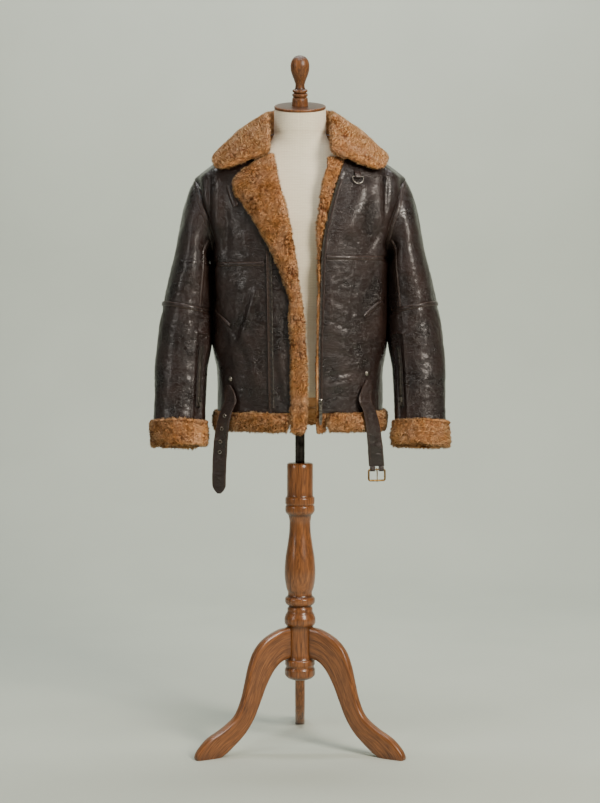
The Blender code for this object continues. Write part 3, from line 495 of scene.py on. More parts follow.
# ---- meshes ----
@dataclass
class Shape:
    """Points and faces gathered for one piece, with values for each point."""

    points: list[Array] = field(default_factory=list)
    faces: list[list[tuple[int, ...]]] = field(default_factory=list)
    finishes: list[Array] = field(default_factory=list)
    values: list[dict[str, Array]] = field(default_factory=list)
    count: int = 0

    def add(self, points: Array, faces: list, finish: int | Array = 0, **values: Array | float) -> "Shape":
        """Adds points, faces and values.

        Args:
            points: (n, 3), round the column's axis.
            faces: tuples of places in points.
            finish: the place of the faces' material, or one for each face.
            **values: a number or a vector for each point, or one for all.

        Returns:
            The shape itself.
        """
        points = np.asarray(points, float).reshape(-1, 3)
        shift = self.count
        self.points.append(points)
        self.faces.append([tuple(int(i) + shift for i in f) for f in faces])
        self.finishes.append(np.broadcast_to(np.asarray(finish), (len(faces),)))
        self.values.append({k: np.asarray(v, float) for k, v in values.items()})
        self.count += len(points)
        return self

    def build(self, name: str, looks: list[bpy.types.Material], sharp: float = 50.0) -> bpy.types.Object:
        """Makes the object, with its faces turned outwards and smooth up to an angle.

        Args:
            name: the piece's name.
            looks: its materials, in the order of the finishes.
            sharp: the angle in degrees over which an edge stays hard.

        Returns:
            The new object.
        """
        mesh = bpy.data.meshes.new(name)
        points = np.concatenate(self.points) + [0, AXIS_Y, 0]
        mesh.from_pydata(points.tolist(), [], [f for group in self.faces for f in group])
        for look in looks:
            mesh.materials.append(look)
        mesh.polygons.foreach_set("material_index", np.concatenate(self.finishes).astype(np.int32))
        for key in sorted({k for v in self.values for k in v}):
            wide = any(v[key].ndim > 1 or v[key].shape == (3,) for v in self.values if key in v)
            whole = []
            for p, v in zip(self.points, self.values):
                given = v.get(key, np.zeros(3) if wide else np.zeros(()))
                whole.append(np.broadcast_to(given, (len(p), 3) if wide else (len(p),)))
            data = mesh.attributes.new(key, "FLOAT_VECTOR" if wide else "FLOAT", "POINT").data
            data.foreach_set("vector" if wide else "value", np.concatenate(whole).astype(np.float32).ravel())
        face_outwards(mesh)
        mesh.shade_smooth()
        mesh.set_sharp_from_angle(angle=math.radians(sharp))
        return show(name, mesh)


def show(name: str, data: bpy.types.ID) -> bpy.types.Object:
    """Puts a mesh, a lamp or a camera into the scene.

    Args:
        name: the object's name.
        data: what it shows.

    Returns:
        The object.
    """
    made = bpy.data.objects.new(name, data)
    bpy.context.scene.collection.objects.link(made)
    return made


def face_outwards(mesh: bpy.types.Mesh) -> None:
    """Turns the faces of each closed part of a mesh outwards.

    Args:
        mesh: the mesh.
    """
    work = bmesh.new()
    work.from_mesh(mesh)
    bmesh.ops.recalc_face_normals(work, faces=work.faces)
    work.to_mesh(mesh)
    work.free()


def grid_faces(rows: int, cols: int, shift: int = 0, wrap_rows: bool = False, wrap_cols: bool = False) -> list:
    """The quads of a grid of points.

    Args:
        rows: how many rows of points.
        cols: how many points in a row.
        shift: the place of the first point.
        wrap_rows: whether the last row joins the first.
        wrap_cols: whether each row closes on itself.

    Returns:
        Tuples of four places.
    """
    last_row, last_col = rows - (not wrap_rows), cols - (not wrap_cols)
    r, c = (v.ravel() for v in np.meshgrid(np.arange(last_row), np.arange(last_col), indexing="ij"))
    up, across = (r + 1) % rows, (c + 1) % cols
    quads = np.stack([r * cols + c, r * cols + across, up * cols + across, up * cols + c], 1) + shift
    return [tuple(q) for q in quads.tolist()]


def wall_of(outer: Array, inner: Array, tube: bool = False) -> tuple[Array, list, Array]:
    """A closed wall between two grids of points of one size.

    Args:
        outer: (rows, cols, 3).
        inner: the same.
        tube: whether the columns close on themselves.

    Returns:
        Its points, its faces, and for each face 1 on the inner side and 0 elsewhere.
    """
    rows, cols = outer.shape[:2]
    half = rows * cols
    front = grid_faces(rows, cols, wrap_cols=tube)
    back = [f[::-1] for f in grid_faces(rows, cols, half, wrap_cols=tube)]
    rim = []
    for r in (0, rows - 1):
        for c in range(cols if tube else cols - 1):
            a, b = r * cols + c, r * cols + (c + 1) % cols
            rim.append((a, a + half, b + half, b) if r == 0 else (a, b, b + half, a + half))
    if not tube:
        for c in (0, cols - 1):
            for r in range(rows - 1):
                a, b = r * cols + c, (r + 1) * cols + c
                rim.append((a, b, b + half, a + half) if c == 0 else (a, a + half, b + half, b))
    kinds = np.array([0] * len(front) + [1] * len(back) + [0] * len(rim))
    return np.concatenate([outer.reshape(-1, 3), inner.reshape(-1, 3)]), front + back + rim, kinds


def loft_of(loops: Array, ring: bool = False) -> tuple[Array, list]:
    """A solid through closed loops of one length, capped unless it is a ring.

    Args:
        loops: (n, k, 3).
        ring: whether the last loop joins the first.

    Returns:
        Points and faces.
    """
    n, k = loops.shape[:2]
    faces = grid_faces(n, k, wrap_rows=ring, wrap_cols=True)
    if not ring:
        faces += [tuple(range(k))[::-1], tuple((n - 1) * k + j for j in range(k))]
    return loops.reshape(-1, 3), faces


def turned_of(profile: Array, at: Array = np.zeros(3), tilt: float = 0.0, sides: int = 96) -> tuple[Array, list]:
    """A turned solid from (radius, height) rows, leaning towards -Y by tilt.

    Args:
        profile: (radius, height) rows.
        at: where its axis starts.
        tilt: how far it leans, in radians.
        sides: points round it.

    Returns:
        Points and faces.
    """
    a = full_turn(sides)
    lean = np.array([[1, 0, 0], [0, math.cos(tilt), -math.sin(tilt)], [0, math.sin(tilt), math.cos(tilt)]])
    ring = np.stack([np.cos(a), np.sin(a), 0 * a], -1)
    loops = profile[:, 0, None, None] * ring + profile[:, 1, None, None] * [0, 0, 1.0]
    return loft_of(loops @ lean.T + at)


def grid_normals(p: Array, wrap_rows: bool = False, wrap_cols: bool = False) -> Array:
    """Unit normals of a grid of points, by differences.

    Args:
        p: (rows, cols, 3).
        wrap_rows: whether its rows close.
        wrap_cols: whether its columns close.

    Returns:
        One unit normal for each point.
    """

    def change(q: Array, axis: int, wrap: bool) -> Array:
        """Differences along an axis, across the join where it wraps."""
        return (np.roll(q, -1, axis) - np.roll(q, 1, axis)) if wrap else np.gradient(q, axis=axis)

    return unit(np.cross(change(p, 1, wrap_cols), change(p, 0, wrap_rows)))


def ribbon_loops(p: Array, n: Array, width: Array | float, thick: float, lift: float, crown: float = 0.25,
                 closed: bool = False, cols: int = 9) -> Array:
    """Section loops of a flat strip along a line on a surface.

    Args:
        p: the line, (m, 3).
        n: the surface's normals there.
        width: the strip's width, or one for each point.
        thick: its thickness at the middle.
        lift: how far its underside is off the surface.
        crown: the share of the thickness that the middle rises over the edges.
        closed: whether the line ends where it starts.
        cols: points across the top.

    Returns:
        (m, 2 cols, 3).
    """
    along = np.roll(p, -1, 0) - np.roll(p, 1, 0) if closed else np.gradient(p, axis=0)
    across = unit(np.cross(n, along))
    u = np.linspace(-0.5, 0.5, cols)
    top = lift + thick * (1 - crown * (2 * u) ** 2) - 0.45 * thick * (np.abs(2 * u) > 0.999)
    w = np.broadcast_to(np.asarray(width, float), (len(p),))[:, None, None]
    upper = p[:, None] + u[None, :, None] * w * across[:, None] + top[None, :, None] * n[:, None]
    under = p[:, None] + u[None, ::-1, None] * w * across[:, None] + lift * n[:, None]
    return np.concatenate([upper, under], axis=1)


def tube_loops(p: Array, radius: Array | float, sides: int = 12, closed: bool = False,
               hint: tuple[float, float, float] = (0.0, 0.0, 1.0)) -> Array:
    """Section loops of a round bar along a line.

    Args:
        p: the line, (m, 3).
        radius: the bar's radius, or one for each point.
        sides: points round it.
        closed: whether the line ends where it starts.
        hint: a direction that the line never takes.

    Returns:
        (m, sides, 3).
    """
    along = unit(np.roll(p, -1, 0) - np.roll(p, 1, 0) if closed else np.gradient(p, axis=0))
    a = unit(np.cross(along, np.asarray(hint)))
    b = np.cross(along, a)
    t = full_turn(sides)
    r = np.broadcast_to(np.asarray(radius, float), (len(p),))[:, None, None]
    return p[:, None] + r * (np.cos(t)[None, :, None] * a[:, None] + np.sin(t)[None, :, None] * b[:, None])


def beads(centres: Array, along: Array, out: Array, size: tuple[float, float, float]) -> tuple[Array, list]:
    """Small pointed beads, such as stitches, one at each centre.

    Args:
        centres: (m, 3).
        along: the direction of each bead.
        out: the surface's normal at each.
        size: half length, half width and half height.

    Returns:
        Points and faces.
    """
    along, out = unit(along), unit(out)
    across = unit(np.cross(out, along))
    m = len(centres)
    local = [(1, 0, 0), (0.55, 1, 0), (0.55, 0, 1), (0.55, -1, 0), (0.55, 0, -1),
             (-0.55, 1, 0), (-0.55, 0, 1), (-0.55, -1, 0), (-0.55, 0, -1), (-1, 0, 0)]
    points = np.stack([
        centres + a * size[0] * along + b * size[1] * across + c * size[2] * out for a, b, c in local
    ], axis=1)
    one = []
    for j in range(4):
        k = (j + 1) % 4
        one += [(0, 1 + j, 1 + k), (1 + j, 5 + j, 5 + k, 1 + k), (9, 5 + k, 5 + j)]
    return points.reshape(-1, 3), [tuple(i + 10 * r for i in f) for r in range(m) for f in one]


def stitches(p: Array, n: Array, pitch: float = 0.0034, off: float = 0.0, closed: bool = False) -> tuple[Array, list]:
    """A row of stitches along a line on a surface, set across by off.

    Args:
        p: the line, (m, 3).
        n: the normals along it.
        pitch: from one stitch to the next.
        off: how far across the row is set.
        closed: whether the line ends where it starts.

    Returns:
        Points and faces.
    """
    along = np.roll(p, -1, 0) - np.roll(p, 1, 0) if closed else np.gradient(p, axis=0)
    line = p + off * unit(np.cross(n, along))
    run = run_of(line)
    at = np.arange(pitch / 2, run[-1], pitch)
    spots, ways, outs = (np.stack([np.interp(at, run, q[:, k]) for k in range(3)], 1) for q in (line, unit(along), n))
    return beads(spots, ways, outs, (0.4 * pitch, 0.00045, 0.0004))


def place(piece: bpy.types.Object, slot: Slot, *nodes: str, body: str = COAT) -> bpy.types.Object:
    """Makes a piece ride on its body and stand for its nodes.

    Args:
        piece: the piece.
        slot: its material slot; not used.
        *nodes: the CAD nodes that it replaces, if any.
        body: the body that it moves with.

    Returns:
        The piece itself.
    """
    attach(piece, body)
    if nodes:
        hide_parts(*nodes)
    LOG.info("%s: %d faces on %s", piece.name, len(piece.data.polygons), body)
    return piece


# ---- finishes ----
def linear(code: str) -> tuple[float, float, float, float]:
    """An sRGB hex colour as linear red, green, blue and 1."""
    parts = [int(code.lstrip("#")[i : i + 2], 16) / 255 for i in (0, 2, 4)]
    return (*[c / 12.92 if c <= 0.04045 else ((c + 0.055) / 1.055) ** 2.4 for c in parts], 1.0)


def add_node(tree: bpy.types.NodeTree, kind: str, inputs: dict | None = None, stops: tuple = (),
             **settings: object) -> bpy.types.Node:
    """Adds a shader node.

    Args:
        tree: the material's tree.
        kind: the node's type, without its ShaderNode prefix.
        inputs: for each input's name or place, a socket to link or a value to set.
        stops: a colour ramp's (place, hex colour) stops.
        **settings: the node's own properties.

    Returns:
        The new node.
    """
    node = tree.nodes.new(f"ShaderNode{kind}")
    for name, value in settings.items():
        setattr(node, name, value)
    feed(node, inputs or {})
    for k, (at, code) in enumerate(stops):
        element = node.color_ramp.elements[k] if k < 2 else node.color_ramp.elements.new(at)
        element.position, element.color = at, linear(code)
    return node


def feed(node: bpy.types.Node, inputs: dict) -> None:
    """Links each socket in inputs to the node's input of that name or place, and sets each value there.

    Args:
        node: the node.
        inputs: for each input, a socket or a value.
    """
    for key, value in inputs.items():
        if isinstance(value, bpy.types.NodeSocket):
            node.id_data.links.new(value, node.inputs[key])
        else:
            node.inputs[key].default_value = value


def new_look(name: str) -> tuple[bpy.types.Material, bpy.types.NodeTree, bpy.types.Node]:
    """A material with its tree and its principled shader.

    Args:
        name: the material's name.

    Returns:
        The material, its tree and its shader.
    """
    look = bpy.data.materials.new(name)
    look.use_nodes = True
    return look, look.node_tree, look.node_tree.nodes["Principled BSDF"]


def per_metre(size_mm: float) -> float:
    """A pattern's scale for features of a size in millimetres."""
    return 1000.0 / size_mm


@dataclass(frozen=True)
class Nappa:
    """Glazed sheepskin nappa, dyed and polished: deep brown with a soft gloss on every swell.

    Its pebbled grain is really about 0.8 mm across, which is too fine to show, so it is drawn 1.9 mm across.
    Its creases are about 12 mm apart, and its rubbed edges are lighter.
    """

    name: str = "glazed_nappa_leather"
    dark: str = "#140C0A"
    light: str = "#2A1A15"
    rubbed: str = "#46342C"
    pebble_mm: float = 1.9
    crease_mm: float = 12.0
    roughness: float = 0.29

    def build(self) -> bpy.types.Material:
        """Makes the material."""
        look, tree, shader = new_look(self.name)
        at = add_node(tree, "TexCoord").outputs["Object"]
        squash = add_node(tree, "Mapping", {"Vector": at, "Scale": (1.0, 1.0, 2.1)}).outputs[0]
        patches = add_node(tree, "TexNoise", {"Vector": at, "Scale": per_metre(60), "Detail": 4.0}).outputs[0]
        grain = add_node(
            tree, "TexVoronoi", {"Vector": at, "Scale": per_metre(self.pebble_mm), "Randomness": 0.9},
            feature="SMOOTH_F1",
        ).outputs["Distance"]
        crease = add_node(
            tree, "TexNoise",
            {"Vector": squash, "Scale": per_metre(self.crease_mm), "Detail": 3.0, "Roughness": 0.55, "Distortion": 1.1},
        ).outputs[0]
        ridge = add_node(
            tree, "ValToRGB", {0: crease},
            stops=((0.43, "#FFFFFF"), (0.57, "#FFFFFF"), (0.5, "#202020")),
        ).outputs[0]
        wear = add_node(tree, "Attribute", attribute_name="wear").outputs["Fac"]
        tone = add_node(tree, "ValToRGB", {0: patches}, stops=((0.3, self.dark), (0.72, self.light))).outputs[0]
        worn = add_node(tree, "Mix", {0: wear, 6: tone, 7: linear(self.rubbed)}, data_type="RGBA").outputs[2]
        rough = add_node(
            tree, "MapRange", {0: patches, 1: 0.3, 2: 0.7, 3: self.roughness - 0.05, 4: self.roughness + 0.09},
        ).outputs[0]
        fine = add_node(tree, "Bump", {"Height": grain, "Strength": 0.25, "Distance": 0.0002}).outputs[0]
        bump = add_node(
            tree, "Bump", {"Height": ridge, "Strength": 0.6, "Distance": 0.0008, "Normal": fine},
        ).outputs[0]
        feed(shader, {"Base Color": worn, "Roughness": rough, "Normal": bump, "IOR": 1.5, "Coat Weight": 0.12,
                      "Coat Roughness": 0.2})
        return look


@dataclass(frozen=True)
class Shearling:
    """Clipped sheepskin wool, dyed honey tan, pale and soft at the tips; the darker tone between the locks and down at
    the roots is painted shade.
    """

    name: str = "shearling_wool"
    root: str = "#8C5733"
    middle: str = "#D29C6B"
    tip: str = "#F6CE9A"
    lock_mm: float = 9.0
    roughness: float = 0.88
    sheen: float = 0.15

    def build(self) -> bpy.types.Material:
        """Makes the material. The shade value runs from 0 at a hair's root to 1 at its tip; its low end is painted
        shade deep in the pile and in the partings.
        """
        look, tree, shader = new_look(self.name)
        at = add_node(tree, "TexCoord").outputs["Object"]
        shade = add_node(tree, "Attribute", attribute_name="shade").outputs["Fac"]
        tone = add_node(
            tree, "ValToRGB", {0: shade}, stops=((0.05, self.root), (0.95, self.tip), (0.5, self.middle)),
        ).outputs[0]
        patches = add_node(
            tree, "TexNoise", {"Vector": at, "Scale": per_metre(self.lock_mm * 3), "Detail": 3.0},
        ).outputs[0]
        rich, pale = (
            add_node(tree, "MapRange", {0: patches, 1: 0.3, 2: 0.7, 3: low, 4: high}).outputs[0]
            for low, high in ((0.9, 1.1), (1.08, 0.9))
        )
        warm = add_node(
            tree, "HueSaturation",
            {"Color": tone, "Saturation": rich, "Value": pale},
        ).outputs[0]
        curl = add_node(
            tree, "TexNoise", {"Vector": at, "Scale": per_metre(2.2), "Detail": 3.0, "Distortion": 0.8},
        ).outputs[0]
        bump = add_node(tree, "Bump", {"Height": curl, "Strength": 0.35, "Distance": 0.0006}).outputs[0]
        feed(shader, {"Base Color": warm, "Normal": bump, "Roughness": self.roughness, "Sheen Weight": self.sheen,
                      "Sheen Roughness": 0.5, "Sheen Tint": linear("#F5CFA0"), "Specular IOR Level": 0.2})
        return look


@dataclass(frozen=True)
class Linen:
    """Plain-woven unbleached linen, stretched tight: matt, pale, with thicker threads here and there.

    The threads are really 0.5 mm apart, which is too fine to show, so the weave is drawn as thick threads of
    1.5 mm in bands about 6 mm apart.
    """

    name: str = "unbleached_linen"
    pale: str = "#F5ECD2"
    deep: str = "#E9DEC2"
    thread_mm: float = 1.5

    def build(self) -> bpy.types.Material:
        """Makes the material."""
        look, tree, shader = new_look(self.name)
        at = add_node(tree, "TexCoord").outputs["Object"]
        waves = [
            add_node(
                tree, "TexWave",
                {"Vector": at, "Scale": per_metre(self.thread_mm) / (2 * math.pi) * 0.5, "Distortion": 0.6,
                 "Detail": 2.0, "Detail Scale": 1.5},
                bands_direction=way, wave_profile="SIN",
            ).outputs["Fac"]
            for way in ("X", "Z")
        ]
        weave = add_node(tree, "Math", {0: waves[0], 1: waves[1]}, operation="MULTIPLY").outputs[0]
        slub = add_node(
            tree, "TexNoise",
            {"Vector": add_node(tree, "Mapping", {"Vector": at, "Scale": (1.0, 1.0, 9.0)}).outputs[0],
             "Scale": per_metre(18), "Detail": 3.0},
        ).outputs[0]
        both = add_node(tree, "Math", {0: weave, 1: 0.35, 2: slub}, operation="MULTIPLY_ADD").outputs[0]
        tone = add_node(tree, "ValToRGB", {0: both}, stops=((0.35, self.deep), (0.85, self.pale))).outputs[0]
        bump = add_node(tree, "Bump", {"Height": both, "Strength": 0.35, "Distance": 0.0004}).outputs[0]
        feed(shader, {"Base Color": tone, "Normal": bump, "Roughness": 0.92, "Sheen Weight": 0.12})
        return look


@dataclass(frozen=True)
class Wood:
    """Turned hardwood, stained and varnished: growth rings stretched along the grain under a clear gloss."""

    name: str = "varnished_turned_beech"
    pale: str = "#9C6234"
    middle: str = "#7A4A26"
    dark: str = "#4A2A15"
    ring_mm: float = 5.0
    roughness: float = 0.3
    coat: float = 0.3

    def build(self) -> bpy.types.Material:
        """Makes the material. The grain value holds each point's place across and along the grain."""
        look, tree, shader = new_look(self.name)
        at = add_node(tree, "Attribute", attribute_name="grain").outputs["Vector"]
        long = add_node(tree, "Mapping", {"Vector": at, "Scale": (1.0, 1.0, 0.09)}).outputs[0]
        rings = add_node(
            tree, "TexNoise", {"Vector": long, "Scale": per_metre(self.ring_mm), "Detail": 5.0, "Distortion": 1.4},
        ).outputs[0]
        pores = add_node(
            tree, "TexNoise",
            {"Vector": add_node(tree, "Mapping", {"Vector": at, "Scale": (1.0, 1.0, 0.05)}).outputs[0],
             "Scale": per_metre(1.3), "Detail": 2.0},
        ).outputs[0]
        both = add_node(tree, "Math", {0: pores, 1: 0.35, 2: rings}, operation="MULTIPLY_ADD").outputs[0]
        tone = add_node(
            tree, "ValToRGB", {0: both}, stops=((0.42, self.dark), (0.88, self.pale), (0.64, self.middle)),
        ).outputs[0]
        # The attribute read here makes the turnings darker in their grooves, and on the legs it is painted shade near
        # the floor and where they meet the column.
        darkening_and_shade = add_node(tree, "Attribute", attribute_name="wear").outputs["Fac"]
        deep = add_node(tree, "Mix", {0: darkening_and_shade, 6: tone, 7: linear("#2A150A")}, data_type="RGBA").outputs[2]
        bump = add_node(tree, "Bump", {"Height": both, "Strength": 0.22, "Distance": 0.0004}).outputs[0]
        feed(shader, {"Base Color": deep, "Normal": bump, "Roughness": self.roughness, "Coat Weight": self.coat,
                      "Coat Roughness": 0.16})
        return look


@dataclass(frozen=True)
class Metal:
    """Plated or polished metal with age on it: bright where it is rubbed and brown-black in patches."""

    name: str
    bright: str
    aged: str
    roughness: float
    patch_mm: float = 4.0

    def build(self) -> bpy.types.Material:
        """Makes the material."""
        look, tree, shader = new_look(self.name)
        at = add_node(tree, "TexCoord").outputs["Object"]
        patches = add_node(
            tree, "TexNoise", {"Vector": at, "Scale": per_metre(self.patch_mm), "Detail": 5.0, "Roughness": 0.6},
        ).outputs[0]
        tone = add_node(tree, "ValToRGB", {0: patches}, stops=((0.34, self.aged), (0.58, self.bright))).outputs[0]
        rough = add_node(
            tree, "MapRange", {0: patches, 1: 0.3, 2: 0.7, 3: self.roughness + 0.16, 4: self.roughness},
        ).outputs[0]
        bump = add_node(tree, "Bump", {"Height": patches, "Strength": 0.15, "Distance": 0.0002}).outputs[0]
        feed(shader, {"Base Color": tone, "Roughness": rough, "Normal": bump, "Metallic": 1.0})
        return look


@dataclass(frozen=True)
class Twill:
    """Woven cotton-polyester zip tape or thread: dull, with slanting ribs.

    The ribs are really a millimetre apart or less, which is too fine to show, so they are drawn in slanting
    bands of about seven.
    """

    name: str
    dark: str
    light: str
    rib_mm: float = 1.0

    def build(self) -> bpy.types.Material:
        """Makes the material."""
        look, tree, shader = new_look(self.name)
        at = add_node(tree, "TexCoord").outputs["Object"]
        ribs = add_node(
            tree, "TexWave", {"Vector": at, "Scale": per_metre(self.rib_mm) / 20, "Distortion": 0.5},
            bands_direction="DIAGONAL",
        ).outputs["Fac"]
        tone = add_node(tree, "ValToRGB", {0: ribs}, stops=((0.2, self.dark), (0.8, self.light))).outputs[0]
        bump = add_node(tree, "Bump", {"Height": ribs, "Strength": 0.4, "Distance": 0.0003}).outputs[0]
        feed(shader, {"Base Color": tone, "Normal": bump, "Roughness": 0.8})
        return look


class Finishes:
    """Every material of the object, made once."""

    def __init__(self) -> None:
        """Makes the materials."""
        self.leather = Nappa().build()
        self.wool = Shearling().build()
        self.linen = Linen().build()
        self.wood = Wood().build()
        self.dark_wood = Wood(
            name="varnished_turned_walnut", pale="#8F5A30", middle="#69401F", dark="#3A2010", roughness=0.4, coat=0.05
        ).build()
        self.nickel = Metal("antique_nickel_plate", "#98938A", "#3E3932", 0.3).build()
        self.brass = Metal("aged_brass", "#A8854F", "#4A3519", 0.3).build()
        self.steel = Metal("blackened_steel_tube", "#5A544E", "#2A2623", 0.22, patch_mm=30.0).build()
        self.tape = Twill("woven_zip_tape", "#17120F", "#2C221C").build()
        self.thread = Twill("waxed_polyester_thread", "#3A2B22", "#5E483A", rib_mm=0.6).build()


# ---- how the leather lies ----
@dataclass(frozen=True)
class Fold:
    """A fold or a groove along a line of the front, in (x, z), with its width and its height."""

    start: tuple[float, float]
    end: tuple[float, float]
    width: float
    height: float

    def relief(self, x: Array, z: Array) -> Array:
        """Its height at points, fading at both ends.

        Args:
            x: across.
            z: heights.

        Returns:
            The height at each point.
        """
        a, b = np.array(self.start), np.array(self.end)
        d = b - a
        length = np.linalg.norm(d)
        along = ((x - a[0]) * d[0] + (z - a[1]) * d[1]) / length**2
        off = ((x - a[0]) * d[1] - (z - a[1]) * d[0]) / length
        ends = ease(along, -0.18, 0.15) * (1 - ease(along, 0.85, 1.18))
        return self.height * ends * np.exp(-((off / self.width) ** 2))


FOLDS = (
    # wearer's left, over the yoke seam
    Fold((0.1935, 1.325), (0.19, 1.225), 0.006, -0.004),
    Fold((0.176, 1.318), (0.178, 1.2), 0.013, 0.0035),
    Fold((0.15, 1.292), (0.109, 1.178), 0.023, 0.005),
    Fold((0.084, 1.28), (0.064, 1.15), 0.013, -0.0025),
    Fold((0.195, 1.21), (0.15, 1.14), 0.008, -0.0025),
    # wearer's left, below it
    Fold((0.068, 1.075), (0.066, 0.955), 0.011, 0.003),
    Fold((0.058, 1.04), (0.118, 1.015), 0.0042, -0.001),
    Fold((0.07, 1.018), (0.125, 0.992), 0.0046, 0.0008),
    Fold((0.058, 0.99), (0.11, 0.968), 0.0044, -0.0011),
    Fold((0.06, 0.97), (0.11, 0.948), 0.0048, 0.0008),
    Fold((0.062, 0.952), (0.133, 0.92), 0.004, -0.0011),
    Fold((0.058, 0.922), (0.118, 0.905), 0.0044, -0.0009),
    Fold((0.056, 0.862), (0.12, 0.872), 0.0056, -0.0022),
    Fold((0.056, 0.838), (0.105, 0.846), 0.006, 0.0018),
    Fold((0.125, 1.08), (0.115, 0.99), 0.006, -0.0012),
    Fold((0.178, 1.06), (0.172, 0.88), 0.014, 0.003),
    Fold((0.156, 0.8265), (0.19, 0.8265), 0.0016, -0.001),
    Fold((0.1747, 0.8265), (0.1747, 0.78), 0.0016, -0.001),
    # wearer's right, over the yoke seam
    Fold((-0.203, 1.32), (-0.205, 1.222), 0.006, -0.0042),
    Fold((-0.185, 1.315), (-0.183, 1.19), 0.013, 0.0032),
    Fold((-0.168, 1.24), (-0.162, 1.14), 0.01, -0.0022),
    Fold((-0.125, 1.18), (-0.11, 1.125), 0.012, 0.002),
    # wearer's right, below it
    Fold((-0.095, 1.06), (-0.132, 0.95), 0.009, 0.0026),
    Fold((-0.113, 1.04), (-0.148, 0.94), 0.007, -0.002),
    Fold((-0.126, 0.955), (-0.095, 0.85), 0.01, 0.0026),
    Fold((-0.05, 0.93), (-0.033, 0.83), 0.006, 0.0024),
    Fold((-0.056, 0.88), (-0.04, 0.8), 0.005, -0.002),
    Fold((-0.042, 1.01), (-0.03, 0.93), 0.006, -0.0014),
    Fold((-0.18, 1.000), (-0.15, 0.96), 0.006, -0.0018),
    Fold((-0.19, 0.95), (-0.175, 0.84), 0.012, 0.0026),
)


# how far the body and the sleeve each swell where the sleeve hangs against the body
HANG = Curve((
    (0.88, 0.0), (0.915, 0.0044), (0.945, 0.0066), (1.003, 0.006), (1.043, 0.0048), (1.08, 0.005),
    (1.11, 0.0064), (1.138, 0.0064), (1.16, 0.0),
))


class Hide:
    """Heights of the leather off the smooth patterns, in metres."""

    @staticmethod
    def swell(p: Array, seed: int, size: float, height: float) -> Array:
        """Broad soft swells, longer down than across."""
        return height * layered(p / [size, size, size * 1.6], seed)

    @staticmethod
    def wrinkle(p: Array, seed: int, wide: float, tall: float, height: float) -> Array:
        """Thin crossing creases with soft ridges between them.

        Args:
            p: points.
            seed: which creases.
            wide: how far apart they are across.
            tall: and down.
            height: how high they are.

        Returns:
            The height at each point.
        """
        warp = np.stack([noise(p / 0.045, seed + k) for k in (1, 2, 3)], -1) * 0.011
        q = (p + warp) / [wide, wide, tall]
        first = (1 - np.abs(noise(q, seed + 4))) ** 5
        second = (1 - np.abs(noise(q * 1.9 + 7.3, seed + 5))) ** 4
        return height * (0.3 - first - 0.45 * second)

    @staticmethod
    def slope(p: Array) -> Array:
        """Points with the corner of each shoulder rounded off."""
        drop = 0.007 * np.exp(-(((p[..., 2:] - 1.322) / 0.026) ** 2)) * ease(np.abs(p[..., :1]), 0.185, 0.245)
        return p - drop * np.concatenate([0.5 * np.sign(p[..., :1]), 0 * drop, 0.7 + 0 * drop], axis=-1)

    @classmethod
    def body(cls, p: Array) -> Array:
        """Heights over the coat's body.

        Args:
            p: points, (..., 3).

        Returns:
            The height at each point.
        """
        x, z, front = p[..., 0], p[..., 2], 1 - ease(p[..., 1], -0.03, 0.03)
        made = cls.swell(p, 11, 0.075, 0.0026)
        lower = 1 - ease(z, 1.085, 1.16)
        left = ease(x, -0.02, 0.03)
        calm = 0.34 + 0.66 * lower * (0.45 + 0.55 * left)
        made = made + calm * (cls.wrinkle(p, 31, 0.026, 0.012, 0.00075) + cls.wrinkle(p, 41, 0.014, 0.008, 0.0006))
        made = made + cls.swell(p, 51, 0.022, 0.0006) * (0.5 + 0.5 * lower)
        for fold in FOLDS:
            made = made + front * fold.relief(x, z)
        beside = ease(np.abs(x), 0.165, 0.19) * (1 - ease(np.abs(p[..., 1]), 0.06, 0.11))
        return made + beside * HANG(z)

    @classmethod
    def sleeve(cls, p: Array, s: Array) -> Array:
        """Heights over a sleeve. s is the place along it.

        Args:
            p: points, (..., 3).
            s: the points' places along it.

        Returns:
            The height at each point.
        """
        made = cls.swell(p, 71, 0.085, 0.0034)
        elbow = np.exp(-(((s - 0.5) / 0.13) ** 2))
        lower = ease(s, 0.5, 0.72)
        turned = p + 0.22 * p[..., :1] * [0, 0, 1.0]
        made = made + (0.4 + 0.75 * elbow + 0.55 * lower) * (
            cls.wrinkle(turned, 91, 0.036, 0.015, 0.001) + cls.wrinkle(turned, 101, 0.017, 0.009, 0.0006)
        )
        made = made + cls.swell(turned, 111, 0.026, 0.0011) * (0.6 + 0.6 * elbow)
        inner = (1 - ease(np.abs(p[..., 0]), 0.205, 0.235)) * ease(s, 0.12, 0.18)
        return made * ease(s, 0.0, 0.05) * (1 - 0.8 * inner) + inner * HANG(p[..., 2])


def stations(length: float, step: float) -> Array:
    """Shares from 0 to 1 along a length, a step apart, with closer ones at both ends.

    Args:
        length: the length.
        step: the step.

    Returns:
        The shares, in order.
    """
    inside = np.linspace(0, 1, max(4, int(round(length / step))))[1:-1]
    close = np.array([0.0007, 0.0016]) / length
    inside = inside[(inside > close[1] * 1.5) & (inside < 1 - close[1] * 1.5)]
    return np.concatenate([[0], close, inside, 1 - close[::-1], [1]])


def to_edges(p: Array, wrap_cols: bool = False) -> tuple[Array, Array]:
    """Distances of a grid's points to its two side edges and to its two end edges, the nearer of each.

    Args:
        p: (rows, cols, 3).
        wrap_cols: whether its columns close, so that it has no side edges.

    Returns:
        The distances to the sides and to the ends.
    """
    across = np.linalg.norm(np.diff(p, axis=1), axis=-1)
    run = np.concatenate([np.zeros((len(p), 1)), np.cumsum(across, axis=1)], axis=1)
    down = np.linalg.norm(np.diff(p, axis=0), axis=-1)
    fall = np.concatenate([np.zeros((1, p.shape[1])), np.cumsum(down, axis=0)], axis=0)
    sides = np.full(run.shape, 1.0) if wrap_cols else np.minimum(run, run[:, -1:] - run)
    return sides, np.minimum(fall, fall[-1:] - fall)


